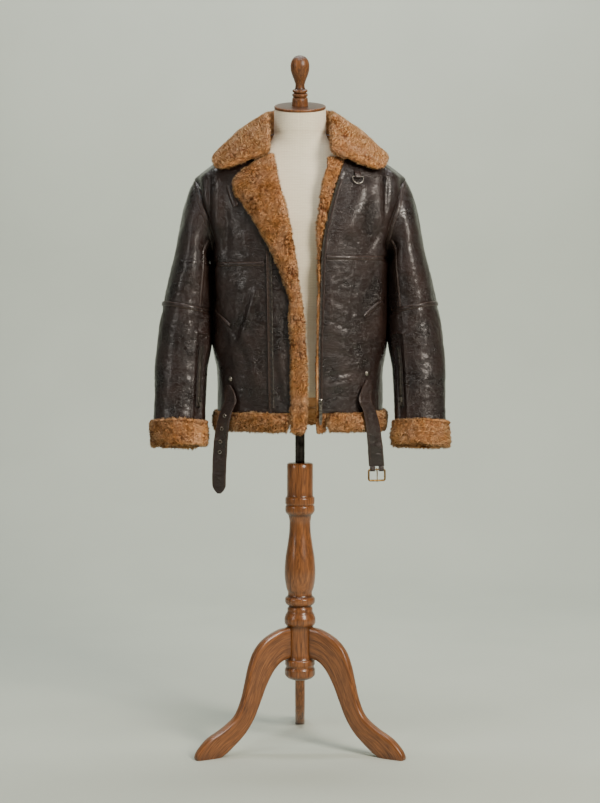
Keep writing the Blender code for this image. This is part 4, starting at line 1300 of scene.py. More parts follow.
def sheet_size(p: Array) -> tuple[tuple[float, float], float]:
    """The flat size and area of a grid's surface, as it would be cut.

    Args:
        p: (rows, cols, 3).

    Returns:
        Its width and length, and its area.
    """
    across = np.linalg.norm(np.diff(p, axis=1), axis=-1).sum(1)
    down = np.linalg.norm(np.diff(p, axis=0), axis=-1).sum(0)
    a, b = p[1:, :-1] - p[:-1, :-1], p[:-1, 1:] - p[:-1, :-1]
    area = float(np.linalg.norm(np.cross(a, b), axis=-1).sum())
    width, length = float(across.max()), float(down.max())
    return (width, max(length, area / width * 1.002)), area


@dataclass
class LeatherWork:
    """The panels of the body and the sleeves: closed walls, leather outside and clipped wool inside."""

    looks: Finishes
    front_step: float = 0.0035
    back_step: float = 0.0068
    sleeve_step: float = 0.0043
    pucker: float = 0.0004
    right_fold: Rows = (
        (0.737, 0.0115), (0.8, 0.0155), (0.87, 0.0155), (0.945, 0.011), (1.033, 0.002),
        (1.118, -0.01), (1.178, -0.02), (1.255, -0.0355), (1.333, -0.054), (1.365, -0.062),
        (1.39, -0.0695), (1.41, -0.0675),
    )
    left_edge: Rows = (
        (0.737, 0.0415), (0.81, 0.0405), (0.86, 0.0402), (0.945, 0.0415), (1.033, 0.0444),
        (1.118, 0.0466), (1.178, 0.053), (1.244, 0.068), (1.295, 0.083), (1.333, 0.096),
        (1.345, 0.1), (1.365, 0.097), (1.39, 0.086), (1.41, 0.0765),
    )
    zip_line: Rows = ((0.787, -0.063), (1.151, -0.069), (1.365, -0.075))

    def finish(self, name: str, smooth: Array, normals: Array, relief: Array, node: str,
               tube: bool = False) -> bpy.types.Object:
        """Lays the relief on a smooth grid, draws its seams in and makes the wall.

        Args:
            name: the piece's name.
            smooth: the pattern's grid, (rows, cols, 3).
            normals: its normals.
            relief: heights for it.
            node: the CAD node it stands for.
            tube: whether the columns close on themselves.

        Returns:
            The piece.
        """
        sides, ends = to_edges(smooth, tube)
        close = np.minimum(sides, ends)
        drawn = ease(close, 0.0, 0.01)
        ripple = np.sin(smooth @ np.array([1.0, 0.6, 0.9]) * 2 * math.pi / 0.0105 + 3 * noise(smooth / 0.02, 5))
        height = relief * drawn - 0.0011 * np.exp(-((close / 0.0021) ** 2))
        height = height + self.pucker * ripple * np.exp(-close / 0.007) * ease(close, 0, 0.004)
        smooth = Hide.slope(smooth)
        outer = smooth + height[..., None] * normals
        inner = smooth - (WALL - np.minimum(height, 0))[..., None] * normals
        points, faces, kinds = wall_of(outer, inner, tube)
        rubbed = 0.5 * np.exp(-((close / 0.003) ** 2)) + 0.18 * ease(relief, 0.0012, 0.004)
        rubbed = rubbed * (0.6 + 0.4 * noise(smooth / 0.012, 8))
        rubbed = np.clip(rubbed, 0, 1)
        lint = 0.35 + 0.2 * noise(inner / 0.006, 9)
        piece = Shape().add(
            points, faces, kinds,
            wear=np.concatenate([rubbed.ravel(), np.zeros(rubbed.size)]),
            shade=np.concatenate([np.zeros(rubbed.size), lint.ravel()]),
        ).build(name, [self.looks.leather, self.looks.wool])
        place(piece, Slot.LEATHER, node)
        flat, area = sheet_size(smooth)
        return piece

    def panel(self, node: str, low: float, high: float, start: Edge, end: Edge, step: float) -> None:
        """A panel of the body between two heights and two edges.

        Args:
            node: the CAD node it stands for.
            low: side height of its lower edge.
            high: side height of its upper edge.
            start: its first edge.
            end: its last edge.
            step: the size of its cells.
        """
        t = low + SEAM / 2 + (high - low - SEAM) * stations(high - low, step)
        first, last = start(t), end(t)
        gap = SEAM / 2 / BODY.width(t)
        share = stations(float(np.max(last - first)) * GIRTH, step)
        phi = (first + gap)[:, None] + share[None, :] * (last - first - 2 * gap)[:, None]
        rows = np.broadcast_to(t[:, None], phi.shape)
        smooth, normals = BODY.point(phi, rows), BODY.normal(phi, rows)
        self.finish(f"{node}_leather", smooth, normals, Hide.body(smooth), node)

    def body(self) -> None:
        """The fronts, the fly and the back."""
        fold, line, left = Curve(self.right_fold), Curve(self.zip_line), Curve(self.left_edge)
        edges: dict[str, Edge] = {
            "left side": lambda t: BODY.side(t, ARMHOLE_FRONT),
            "right side": lambda t: -BODY.side(t, ARMHOLE_FRONT),
            "back, left": lambda t: math.pi - BODY.side(t, ARMHOLE_BACK),
            "back, right": lambda t: math.pi + BODY.side(t, ARMHOLE_BACK),
            "zip seam": lambda t: BODY.edge(line, t),
            "in the lapel": lambda t: BODY.edge(fold, t, -0.009),
            "zipped": lambda t: BODY.edge(left, t),
        }
        for node, low, high, start, end in (
            ("front_right_lower", HEM_Z, YOKE_RIGHT, "right side", "zip seam"),
            ("front_right_upper", YOKE_RIGHT, NECK_Z, "right side", "in the lapel"),
            ("front_fly", HEM_Z, YOKE_RIGHT, "zip seam", "in the lapel"),
            ("front_left_lower", HEM_Z, YOKE_LEFT, "zipped", "left side"),
            ("front_left_upper", YOKE_LEFT, NECK_Z, "zipped", "left side"),
            ("back", HEM_Z, NECK_Z, "back, left", "back, right"),
        ):
            step = self.back_step if node == "back" else self.front_step
            self.panel(node, low, high, edges[start], edges[end], step)

    def sleeves(self) -> None:
        """Two sleeves, each in an upper and a lower part that meet at the elbow seam."""
        cols = int(round(0.49 / self.sleeve_step))
        for side in Side:
            flip = np.array([side.value, 1, 1])
            for part, low, high in (("upper", 0.002, ELBOW - SEAM), ("lower", ELBOW + SEAM, SLEEVE_END)):
                s = low + (high - low) * stations((high - low) * 0.55, self.sleeve_step)
                psi = full_turn(cols)
                smooth = SLEEVE.point(psi[None, :], s[:, None]) * flip
                normals = SLEEVE.normal(psi[None, :], s[:, None]) * flip
                rows = np.broadcast_to(s[:, None], smooth.shape[:2])
                relief = Hide.sleeve(smooth, rows)
                off = (psi[None, :] - SLEEVE_SEAM) * 0.06
                groove = -0.0009 * np.exp(-((off / 0.0022) ** 2)) * (1 - ease(rows, 0.6, 0.64))
                if part == "lower":
                    relief = relief + self.gusset(psi, s)
                name = f"sleeve_{side.name.lower()}_{part}"
                self.finish(f"{name}_leather", smooth, normals, relief + groove, name, tube=True)

    @staticmethod
    def gusset(psi: Array, s: Array) -> Array:
        """The raised edges of the opening round the sleeve's zip.

        Args:
            psi: angles round the sleeve.
            s: places along it.

        Returns:
            Heights, (places, angles).
        """
        off = (psi[None, :] - SLEEVE_ZIP) * 0.055
        down = ease(s, 0.625, 0.65)[:, None] * np.ones_like(off)
        ridges = 0.0026 * (np.exp(-(((off + 0.0145) / 0.003) ** 2)) + np.exp(-(((off - 0.015) / 0.0034) ** 2)))
        top = 0.004 * np.exp(-(((s[:, None] - 0.64) / 0.008) ** 2)) * np.exp(-((off / 0.015) ** 4))
        trough = -0.0012 * np.exp(-((off / 0.009) ** 4))
        return down * (ridges + trough) + top


# ---- wool ----
@dataclass
class WoolWork:
    """The collar, lapel, facing, cuffs and hem: a lumpy wool skin with standing tufts on it."""

    looks: Finishes
    leather: LeatherWork
    hair: float = 0.0062
    width: float = 0.00125
    per_m2: float = 0.80e6
    lapel: Rows = (
        (0.0115, 0.733, -0.0221, 0.733), (0.015, 0.8, -0.0221, 0.8), (0.015, 0.87, -0.0221, 0.87),
        (0.011, 0.945, -0.0225, 0.944), (0.002, 1.033, -0.025, 1.03), (-0.004, 1.085, -0.036, 1.074),
        (-0.01, 1.125, -0.053, 1.12), (-0.016, 1.16, -0.074, 1.162), (-0.027, 1.212, -0.1, 1.208),
        (-0.039, 1.265, -0.126, 1.243), (-0.048, 1.303, -0.144, 1.272), (-0.053, 1.326, -0.1465, 1.292),
        (-0.056, 1.34, -0.139, 1.308), (-0.058, 1.35, -0.124, 1.32), (-0.059, 1.358, -0.108, 1.331),
    )
    facing: Rows = (
        (0.737, 0.0385), (0.945, 0.0385), (1.033, 0.041), (1.11, 0.038), (1.167, 0.0365),
        (1.233, 0.041), (1.3, 0.051), (1.34, 0.061),
    )
    collar_rows: Rows = (
        (0.00, 180, 1.402, 0.000, 0.087, 1.47, 0.000, 0.162, 1.4),
        (0.25, 146, 1.402, 0.048, 0.074, 1.469, 0.094, 0.152, 1.394),
        (0.5, 112, 1.402, 0.074, 0.033, 1.461, 0.166, 0.106, 1.376),
        (0.7, 84, 1.4, 0.0735, -0.02, 1.447, 0.193, 0.035, 1.368),
        (0.85, 60, 1.388, 0.0705, -0.065, 1.414, 0.197, -0.035, 1.356),
        (0.94, 44, 1.37, 0.069, -0.098, 1.38, 0.193, -0.085, 1.336),
        (1.00, 35, 1.355, 0.0695, -0.114, 1.352, 0.176, -0.124, 1.314),
    )

    @staticmethod
    def locks(p: Array, seed: int, lock: float) -> tuple[Array, Array, Array]:
        """How the wool gathers into locks.

        Args:
            p: points, (n, 3).
            seed: which wool.
            lock: the size of a lock.

        Returns:
            Heights from about -1 to 1, how deep in a parting each point is, and the way to its lock's middle.
        """
        warp = np.stack([noise(p / 0.013, seed + k) for k in (1, 2, 3)], -1) * 0.0045
        near, following, way, mark = cells((p + warp) / lock, seed)
        small, _, _, _ = cells((p + warp) / (lock * 0.42), seed + 9)
        open_up = 0.1 + 0.9 * ease(noise(p / 0.026, seed + 12), 0.05, 0.55)
        parting = np.exp(-(((following - near) / 0.13) ** 2)) * open_up
        height = 0.8 - 0.9 * near**2 - 1.0 * parting + 0.4 * (mark - 0.5) - 0.9 * small**2
        height = height + 0.5 * noise(p / 0.028, seed + 14)
        return height, parting, way

    def piece(self, node: str, loops: Array, seed: int, ring: bool = False, gravity: float = 0.35,
              curl: float = 0.0019, inset: float = 0.0026, end: float = 0.0065, lock: float = 0.0105) -> None:
        """Makes one wool piece from the loops of its smooth section.

        Args:
            node: the CAD node it stands for.
            loops: (n, k, 3), along the piece and round its section.
            seed: which wool.
            ring: whether its ends meet.
            gravity: how much the tips hang down.
            curl: how high its locks stand.
            inset: how far its skin lies inside the section, to leave room for the pile.
            end: how long its rounded ends are.
            lock: the size of its locks.
        """
        middle = loops.mean(1, keepdims=True)
        if not ring:  # rounded ends
            run = run_of(middle[:, 0])
            near = np.clip(np.minimum(run, run[-1] - run) / end, 0, 1)
            scale = np.clip(1 - (1 - near) ** 3, 0.02, 1) ** (1 / 3)
            loops = middle + (loops - middle) * scale[:, None, None]
        n = grid_normals(loops, ring, True)
        if (n * (loops - middle)).sum() < 0:
            n = -n
        flat = loops.reshape(-1, 3)
        height, parting, _ = self.locks(flat, seed, lock)
        height, parting = height.reshape(loops.shape[:2]), parting.reshape(loops.shape[:2])
        skin = loops + (curl * height - inset + Hide.swell(loops, seed, 0.048, 0.0024))[..., None] * n
        points, faces = loft_of(skin, ring)
        # painted shade: darker in the partings and low between the locks, lighter on their tops; the random part is the
        # wool's own tone
        shade = np.clip(0.42 + 0.16 * height - 0.34 * parting, 0.02, 1)
        base = Shape().add(points, faces, shade=shade.ravel()).build(f"{node}_wool", [self.looks.wool], 80)
        place(base, Slot.WOOL, node)
        pile = self.tufts(f"{node}_pile", skin, n, seed, ring, gravity, lock)
        rows = np.concatenate([loops, loops[:1]]) if ring else loops
        _, area = sheet_size(np.concatenate([rows, rows[:, :1]], axis=1))

    def tufts(self, name: str, skin: Array, n: Array, seed: int, ring: bool, gravity: float,
              lock: float) -> bpy.types.Object:
        """Makes the standing tufts: one pointed blade for each small lock of hair.

        Args:
            name: the piece's name.
            skin: the wool skin's grid, closed across its columns.
            n: its normals.
            seed: which wool.
            ring: whether its rows close too.
            gravity: how much the tips hang down.
            lock: the size of its locks.

        Returns:
            The tufts, as one object.
        """
        draw = np.random.default_rng(seed)
        rows, cols = skin.shape[:2]
        count_r = rows if ring else rows - 1
        r0, c0 = np.meshgrid(np.arange(count_r), np.arange(cols), indexing="ij")
        r1, c1 = (r0 + 1) % rows, (c0 + 1) % cols
        a, b, c, d = skin[r0, c0], skin[r0, c1], skin[r1, c1], skin[r1, c0]
        area = 0.5 * (np.linalg.norm(np.cross(b - a, d - a), axis=-1) + np.linalg.norm(np.cross(b - c, d - c), axis=-1))
        round_axis = unit(a[..., :2])
        facing = (n[r0, c0][..., :2] * round_axis).sum(-1) + 0.5 * n[r0, c0][..., 2]
        weight = (area * (0.28 + 0.72 * ease(facing, -0.3, 0.25))).ravel()  # fewer where nothing shows
        total = int(weight.sum() * self.per_m2)
        cell = draw.choice(weight.size, total, p=weight / weight.sum())
        r0, c0, r1, c1 = r0.ravel()[cell], c0.ravel()[cell], r1.ravel()[cell], c1.ravel()[cell]
        u, v = draw.random((2, total, 1))

        def between(g: Array) -> Array:
            """Values of a grid at the drawn places."""
            return (g[r0, c0] * (1 - u) + g[r0, c1] * u) * (1 - v) + (g[r1, c0] * (1 - u) + g[r1, c1] * u) * v

        root, out = between(skin), unit(between(n))
        height, parting, way = self.locks(root, seed, lock)
        lay = np.stack([noise(root / 0.021, seed + 30 + k) for k in range(3)], -1)
        loose = draw.normal(0, 1, (total, 3))
        lean = 0.14 * way + 0.14 * lay + 0.24 * loose + 0.6 * gravity * np.array([0, 0, -1.0])
        lean = lean - (lean * out).sum(-1, keepdims=True) * out
        along = unit(out + lean)
        length = self.hair * (0.72 + 0.16 * height + 0.12 * draw.normal(0, 1, total)).clip(0.35, 1.15)
        across = unit(np.cross(along, draw.normal(0, 1, (total, 3)))) * (self.width / 2)
        wide = (0.75 + 0.5 * draw.random((total, 1)))
        tip = root + along * length[:, None]
        sunk = root - 0.001 * out
        points = np.stack([sunk - across * wide, sunk + across * wide, tip], axis=1).reshape(-1, 3)
        # painted shade: each blade is darker at its root than at its tip, darker in the partings and low between the
        # locks; the random part is the wool's own tone
        tone = 0.66 + 0.22 * height - 0.6 * parting + 0.1 * draw.normal(0, 1, total)
        shade = np.stack([tone * 0.55, tone * 0.55, tone * 1.22], 1).clip(0.02, 1.0)
        mesh = bpy.data.meshes.new(name)
        mesh.vertices.add(3 * total)
        mesh.vertices.foreach_set("co", (points + [0, AXIS_Y, 0]).astype(np.float32).ravel())
        mesh.loops.add(3 * total)
        mesh.loops.foreach_set("vertex_index", np.arange(3 * total, dtype=np.int32))
        mesh.polygons.add(total)
        mesh.polygons.foreach_set("loop_start", np.arange(0, 3 * total, 3, dtype=np.int32))
        mesh.attributes.new("shade", "FLOAT", "POINT").data.foreach_set("value", shade.astype(np.float32).ravel())
        side = int(math.ceil(math.sqrt(total)))
        spot = np.stack([np.arange(total) % side, np.arange(total) // side], 1)
        corners = (spot[:, None, :] + np.array([[0.12, 0.12], [0.88, 0.12], [0.5, 0.88]])) / side
        mesh.uv_layers.new(name="OFBake").uv.foreach_set("vector", corners.astype(np.float32).ravel())
        mesh.materials.append(self.looks.wool)
        mesh.update()
        mesh.validate()
        mesh.shade_smooth()
        turned = unit(0.9 * out + 0.25 * along + 0.24 * draw.normal(0, 1, (total, 3)))
        mesh.normals_split_custom_set_from_vertices(np.repeat(turned, 3, axis=0).astype(np.float32).tolist())
        return place(show(name, mesh), Slot.WOOL)

    def slab(self, rows: Array, section: Section, count: int) -> Array:
        """Loops of a slab laid on the front.

        Args:
            rows: (m, 4): the (x, z) of its start and of its end.
            section: its section.
            count: points round the section.

        Returns:
            (m, count, 3).
        """
        made = []
        for x0, z0, x1, z1 in rows:
            width = math.hypot(x1 - x0, z1 - z0)
            loop = evenly(np.array(section(width)), count, closed=True)
            far, height = loop.T
            made.append(np.stack([x0 + far * (x1 - x0) / width, z0 + far * (z1 - z0) / width, height], -1))
        made = np.array(made)
        p, n = BODY.on_front(made[..., 0], made[..., 1])
        return p + made[..., 2:] * n

    @staticmethod
    def lapel_section(w: float) -> list[tuple[float, float]]:
        """Round the front's folded edge and out over the leather.

        Args:
            w: the lapel's width.

        Returns:
            (distance, height) rows.
        """
        under = [(f * w, 0.0014) for f in (0.9, 0.75, 0.6, 0.45, 0.32)]
        return [
            (w - 0.002, 0.0014), (w, 0.006), (w - 0.003, 0.0115), (0.75 * w, 0.0135), (0.5 * w, 0.0135),
            (0.25 * w, 0.0135), (0.003, 0.0115), (-0.001, 0.006), (-0.002, -0.001), (0.001, -0.007),
            (0.006, -0.0105), (0.017, -0.0105), (0.017, -0.0055), (0.007, -0.0055), (0.007, 0.0014),
            *under[::-1],
        ]

    @staticmethod
    def facing_section(w: float) -> list[tuple[float, float]]:
        """Behind the zipped edge, and past it towards the middle.

        Args:
            w: the facing's width.

        Returns:
            (distance, height) rows.
        """
        return [
            (0.0012, 0.0006), (0.5 * w, 0.0016), (w - 0.001, 0.0000), (w, -0.005), (w - 0.001, -0.01),
            (0.0, -0.013), (-0.017, -0.013), (-0.017, -0.0056), (0.0012, -0.0056),
        ]

    def fronts(self) -> None:
        """The lapel that is turned back, and the facing behind the zip."""
        lines = [Curve([(i, row[k]) for i, row in enumerate(self.lapel)]) for k in range(4)]
        at = np.linspace(0, len(self.lapel) - 1, 190)
        self.piece("lapel_right", self.slab(np.stack([line(at) for line in lines], 1), self.lapel_section, 78), 210)
        edge, inner = Curve(self.leather.left_edge), Curve(self.facing)
        z = np.linspace(0.735, 1.357, 190)
        rows = np.stack([edge(z), z, inner(z), z], 1)
        self.piece("facing_left", self.slab(rows, self.facing_section, 34), 310)

    def hem(self) -> None:
        """The wool bands under the leather."""
        shape = np.array([
            (0.001, -SEAM), (0.0075, 0.0015), (0.011, -0.01), (0.0115, -0.028), (0.008, -0.042),
            (0.001, -HEM_TRIM), (-0.006, -0.042), (-0.008, -0.025), (-0.007, -SEAM),
        ])
        loop = evenly(shape, 44, closed=True)
        gap = SEAM / 2 / GIRTH
        right = float(BODY.phi_at(np.array(-0.0221 - 0.0015), HEM_Z))
        left = float(BODY.phi_at(Curve(self.leather.left_edge)(HEM_Z) + 0.0185, HEM_Z))
        spans = {
            "hem_right": (-math.pi / 2 + gap, right), "hem_left": (left, math.pi / 2 - gap),
            "hem_back": (math.pi / 2 + gap, 3 * math.pi / 2 - gap),
        }
        for k, (node, (start, end)) in enumerate(spans.items()):
            phi = np.linspace(start, end, int(abs(end - start) * 0.17 / 0.0032))
            n = unit(BODY.normal(phi, HEM_Z) * [1, 1, 0])
            loops = BODY.point(phi, HEM_Z)[:, None] + loop[None, :, :1] * n[:, None] + loop[None, :, 1:] * [0, 0, 1.0]
            self.piece(node, loops, 410 + 40 * k, gravity=0.5, curl=0.0036, inset=0.0044, lock=0.0078)

    def cuffs(self) -> None:
        """The turned-up wool ends of the sleeves."""
        shape = np.array([
            (CUFF_TOP, 0.001), (CUFF_TOP - 0.006, 0.0045), (CUFF_TOP + 0.008, 0.009), (1.045, 0.0105),
            (CUFF_LOW - 0.014, 0.0095), (CUFF_LOW, 0.003), (CUFF_LOW - 0.01, -0.005),
            (1.045, -0.006), (SLEEVE_END + 0.003, -0.005), (SLEEVE_END + 0.003, 0.001),
        ])
        loop = evenly(shape * [0.56, 1], 48, closed=True) / [0.56, 1]
        psi = full_turn(104)
        for side in Side:
            p = SLEEVE.point(psi[:, None], loop[None, :, 0])
            n = SLEEVE.normal(psi[:, None], loop[None, :, 0])
            loops = (p + loop[None, :, 1:] * n) * [side.value, 1, 1]
            self.piece(f"cuff_{side.name.lower()}", loops, 560 + 30 * side.value, ring=True, gravity=0.2, curl=0.004,
                       inset=0.0054, lock=0.0076)

    def collar_sheet(self, q: Array, f: Array) -> Array:
        """The middle surface of the collar: q along it, f 0 at its foot, 1 at the roll and 2 at the edge.

        Args:
            q: places from -1 to 1 along the collar.
            f: places across it.

        Returns:
            Points, (..., 3).
        """
        v = [Curve(self.collar_rows, k)(np.abs(q)) for k in range(1, 9)]
        angle = np.radians(v[0])
        foot = BODY.point(angle, v[1]) + 0.0062 * BODY.normal(angle, v[1])
        roll, edge = np.stack(v[2:5], -1), np.stack(v[5:8], -1)
        level = np.array([1, 1, 0])
        low = np.clip(f, 0, 1)[..., None]
        g = np.clip(f - 1, 0, 1)[..., None]
        stand = foot + (roll - foot) * low + 0.004 * np.sin(math.pi * low) * unit((roll - foot) * level + 1e-9)
        arch = 0.009 * np.sin(math.pi * g) * (1 - 0.4 * g)
        fall = roll + (edge - roll) * g + arch * (unit((edge - roll) * level) * 0.5 + [0, 0, 0.85])
        return np.where(f[..., None] <= 1, stand, fall) * np.stack([np.sign(q + 1e-12), 1 + 0 * q, 1 + 0 * q], -1)

    def collar(self) -> None:
        """The folded-down collar."""
        upper = [(0.0, 0.004), (0.35, 0.0042), (0.7, 0.0046), (1.0, 0.006), (1.25, 0.0068), (1.5, 0.0072),
                 (1.75, 0.007), (1.93, 0.0055), (2.0, 0.003)]
        reach = 0.085
        shape = np.array([(f * reach, h) for f, h in upper] + [(f * reach, -h) for f, h in upper[::-1]])
        loop = evenly(shape, 100, closed=True) / [reach, 1]
        q = np.linspace(-0.998, 0.998, 180)
        f = np.clip(loop[None, :, 0] + 0 * q[:, None], 0, 2)
        qq = q[:, None] + 0 * f
        p = self.collar_sheet(qq, f)
        a = self.collar_sheet(qq + 0.01, f) - self.collar_sheet(qq - 0.01, f)
        b = self.collar_sheet(qq, np.minimum(f + 0.05, 2)) - self.collar_sheet(qq, np.maximum(f - 0.05, 0))
        n = unit(np.cross(b, a))
        over = (loop[None, :, 0] - f) * reach
        loops = p + loop[None, :, 1:] * n + over[..., None] * unit(b)
        self.piece("collar", loops, 650, gravity=0.3, end=0.026)


# ---- trims, zips and fittings ----
def frame_at(normal: Array) -> tuple[Array, Array, Array]:
    """Directions at a point with this normal: across, up and out.

    Args:
        normal: the normal.

    Returns:
        Three unit directions.
    """
    out = unit(normal)
    across = unit(np.cross([0, 0, 1.0], out))
    return across, unit(np.cross(out, across)), out


def front_line(x: Array, z: Array) -> tuple[Array, Array]:
    """Points and normals of a line on the front, on top of the leather's relief.

    Args:
        x: across.
        z: heights.

    Returns:
        Points and unit normals.
    """
    phi, t = BODY.front_at(x, z)
    p, n = BODY.point(phi, t), BODY.normal(phi, t)
    return p + np.maximum(Hide.body(p), 0)[:, None] * n * 0.6, n


def sleeve_line(psi: Array, s: Array, side: Side) -> tuple[Array, Array]:
    """Points and normals of a line on a sleeve.

    Args:
        psi: angles round the sleeve.
        s: places along it.
        side: which sleeve.

    Returns:
        Points and unit normals.
    """
    psi, s = np.broadcast_arrays(np.asarray(psi, float), np.asarray(s, float))
    flip = np.array([side.value, 1, 1])
    p, n = SLEEVE.point(psi, s) * flip, SLEEVE.normal(psi, s) * flip
    return p + np.maximum(Hide.sleeve(p, s), 0)[:, None] * n * 0.6, n


@dataclass
class TrimWork:
    """Taped seams, pocket welts and the throat tab."""

    looks: Finishes
    leather: LeatherWork
    tape: float = 0.01
    thick: float = 0.0022
    stitch_in: float = 0.0032

    def strip_shape(self, p: Array, n: Array, width: Array | float, thick: float, lift: float, closed: bool = False,
                    crown: float = 0.55, into: Shape | None = None) -> Shape:
        """A stitched strip of leather that lies along a line, added to a shape.

        Args:
            p: the line, (m, 3).
            n: the normals along it.
            width: the strip's width, or one for each point.
            thick: its thickness.
            lift: how far its underside is off the leather.
            closed: whether it is a ring.
            crown: how far its middle rises, as a share of its thickness.
            into: the shape to add it to.

        Returns:
            The shape.
        """
        loops = ribbon_loops(p, n, width, thick, lift, crown, closed)
        points, faces = loft_of(loops, closed)
        cols = loops.shape[1] // 2
        edge = np.abs(np.linspace(-1, 1, cols)) ** 6
        wear = np.concatenate([0.05 + 0.35 * edge, 0 * edge])
        shape = (into or Shape()).add(points, faces, wear=np.tile(wear, len(loops)))
        top = p + (lift + thick * (1 - crown * 0.4)) * n
        half = float(np.mean(width)) / 2
        for sign in (-1, 1):
            shape.add(*stitches(top, n, off=sign * (half - self.stitch_in * half / 0.005 * 0.62), closed=closed), 1)
        return shape

    def dress(self, shape: Shape, name: str, node: str) -> bpy.types.Object:
        """Makes a shape into a leather piece."""
        return place(shape.build(name, [self.looks.leather, self.looks.thread], 40), Slot.LEATHER, node)

    def strip(self, name: str, node: str, *given: object, **more: object) -> bpy.types.Object:
        """Makes one strip into a piece."""
        return self.dress(self.strip_shape(*given, **more), name, node)

    def build(self) -> None:
        """Makes every tape, welt and tab."""
        line, left = Curve(self.leather.zip_line), Curve(self.leather.left_edge)
        side = math.radians(65)
        last = float(BODY.phi_at(line(YOKE_RIGHT) - 0.012, YOKE_RIGHT))
        first = float(BODY.phi_at(left(YOKE_LEFT) + 0.0115, YOKE_LEFT))
        for node, start, end, t in (
            ("yoke_tape_right", -side, last, YOKE_RIGHT), ("yoke_tape_left", first, side, YOKE_LEFT),
        ):
            phi = np.linspace(start, end, 90)
            p, n = BODY.point(phi, t), BODY.normal(phi, t)
            self.strip(f"{node}_strip", node, p, n, self.tape, self.thick, 0.0002)
        for hand in Side:
            word = hand.name.lower()
            psi = full_turn(150)
            flip = np.array([hand.value, 1, 1])
            p, n = SLEEVE.point(psi, ELBOW) * flip, SLEEVE.normal(psi, ELBOW) * flip
            self.strip(f"elbow_tape_{word}_strip", f"elbow_tape_{word}", p, n, 0.011, self.thick, 0.0002, True)
            p, n = sleeve_line(SLEEVE_SEAM, np.linspace(0.05, ELBOW - 0.016, 110), hand)
            made = self.strip_shape(p, n, 0.011, self.thick, 0.0002)
            for reach in (np.linspace(0.4, 2.9, 70), -np.linspace(0.4, 2.9, 70)):
                p, n = SLEEVE.point(reach, 0.032) * flip, SLEEVE.normal(reach, 0.032) * flip
                made = self.strip_shape(Hide.slope(p), n, 0.009, 0.0016, 0.0002, into=made)
            self.dress(made, f"sleeve_tape_{word}_strip", f"sleeve_tape_{word}")
        share = np.linspace(0, 1, 26)
        for word, sign, x0, z0 in (("right", -1, 0.19, 1.009), ("left", 1, 0.177, 1.031)):
            p, n = front_line(sign * (x0 - 0.034 * share), z0 - 0.034 * share)
            width = 0.011 * (1 - 0.35 * np.abs(2 * share - 1) ** 8)
            self.strip(f"pocket_welt_{word}_strip", f"pocket_welt_{word}", p, n, width, 0.003, 0.0004, crown=0.5)
        x = Curve(((0, -0.1575), (1, -0.153), (2, -0.148), (3, -0.142)))
        z = Curve(((0, 1.288), (1, 1.272), (2, 1.256), (3, 1.24)))
        at = np.linspace(0, 3, 24)
        p, n = front_line(x(at), z(at))
        width = 0.016 * np.sqrt(np.clip(1 - (np.maximum(at - 2.45, 0) / 0.62) ** 2, 0.1, 1))
        self.strip("throat_tab_strip", "throat_tab", p, n, width, 0.003, 0.0006)


@dataclass
class ZipWork:
    """The open front zip, the sleeve zips, and their sliders and pulls."""

    looks: Finishes
    leather: LeatherWork
    tooth: float = 0.0026
    thick: float = 0.0013

    def half(self, node: str, p: Array, n: Array, width: float, teeth_at: tuple[float, ...], welt_at: float | None,
             lift: float = 0.0006) -> None:
        """A zip half: its woven tape, its row of teeth, and the leather piping sewn beside it.

        Args:
            node: the CAD node it stands for.
            p: its line.
            n: the normals along it.
            width: the tape's width.
            teeth_at: how far across each row of teeth sits.
            welt_at: how far across the piping sits, or None.
            lift: how far the tape's underside is off the leather.
        """
        shape = Shape().add(*loft_of(ribbon_loops(p, n, width, self.thick, lift, 0.1)))
        along = np.gradient(p, axis=0)
        across = unit(np.cross(n, along))
        run = run_of(p)
        at = np.arange(self.tooth, run[-1] - self.tooth, self.tooth)

        def along_line(q: Array) -> Array:
            """Values at each tooth."""
            return np.stack([np.interp(at, run, q[:, k]) for k in range(3)], 1)

        spots, ways, outs = along_line(p), along_line(across), along_line(n)
        for k, off in enumerate(teeth_at):
            shift = 0.5 * self.tooth * (k % 2) * unit(along_line(along))
            centres = spots + shift + off * ways + (lift + self.thick + 0.0005) * outs
            shape.add(*beads(centres, ways, outs, (0.0017, 0.00085, 0.0009)), 1)
        if welt_at is not None:
            cord = p + welt_at * across + (lift + 0.0016) * n
            shape.add(*loft_of(tube_loops(cord, 0.0017, 10)), 2, wear=0.45)
            shape.add(*stitches(p + (lift + self.thick) * n, n, off=welt_at * 0.45), 3)
        looks = [self.looks.tape, self.looks.nickel, self.looks.leather, self.looks.thread]
        place(shape.build(f"{node}_chain", looks, 40), Slot.TAPE, node)

    def build(self) -> None:
        """Makes the zips."""
        line, left = Curve(self.leather.zip_line), Curve(self.leather.left_edge)
        z = np.linspace(0.792, 1.142, 150)
        p, n = front_line(line(z), z)
        self.half("zip_right", p, n, 0.0126, (-0.0046,), 0.0052)
        z = np.linspace(0.792, 1.302, 210)
        p, n = front_line(left(z) + 0.005, z)
        self.half("zip_left", p, n, 0.0088, (0.0034,), -0.003)
        for side in Side:
            word = side.name.lower()
            p, n = sleeve_line(SLEEVE_ZIP, np.linspace(0.7, 0.955, 90), side)
            self.half(f"sleeve_zip_{word}", p, n, 0.0146, (-0.0013, 0.0013), None, lift=0.0008)
            self.metal(f"sleeve_zip_{word}_slider")
            self.metal(f"sleeve_zip_{word}_pull")
        self.metal("zip_front_slider")
        self.metal("zip_front_pull")

    def metal(self, node: str) -> None:
        """Softens a cast part's edges and plates it.

        Args:
            node: the CAD node.
        """
        piece = frame["nodes"][node]
        soften(piece, 0.0003)
        piece.data.materials.clear()
        piece.data.materials.append(self.looks.nickel)


def soften(piece: bpy.types.Object, width: float) -> None:
    """Adds a small bevel to an object's hard edges.

    Args:
        piece: the object.
        width: the bevel's width.
    """
    bevel = piece.modifiers.new("soft_edges", "BEVEL")
    bevel.width, bevel.segments, bevel.limit_method = width, 2, "ANGLE"
    bevel.angle_limit = math.radians(35)


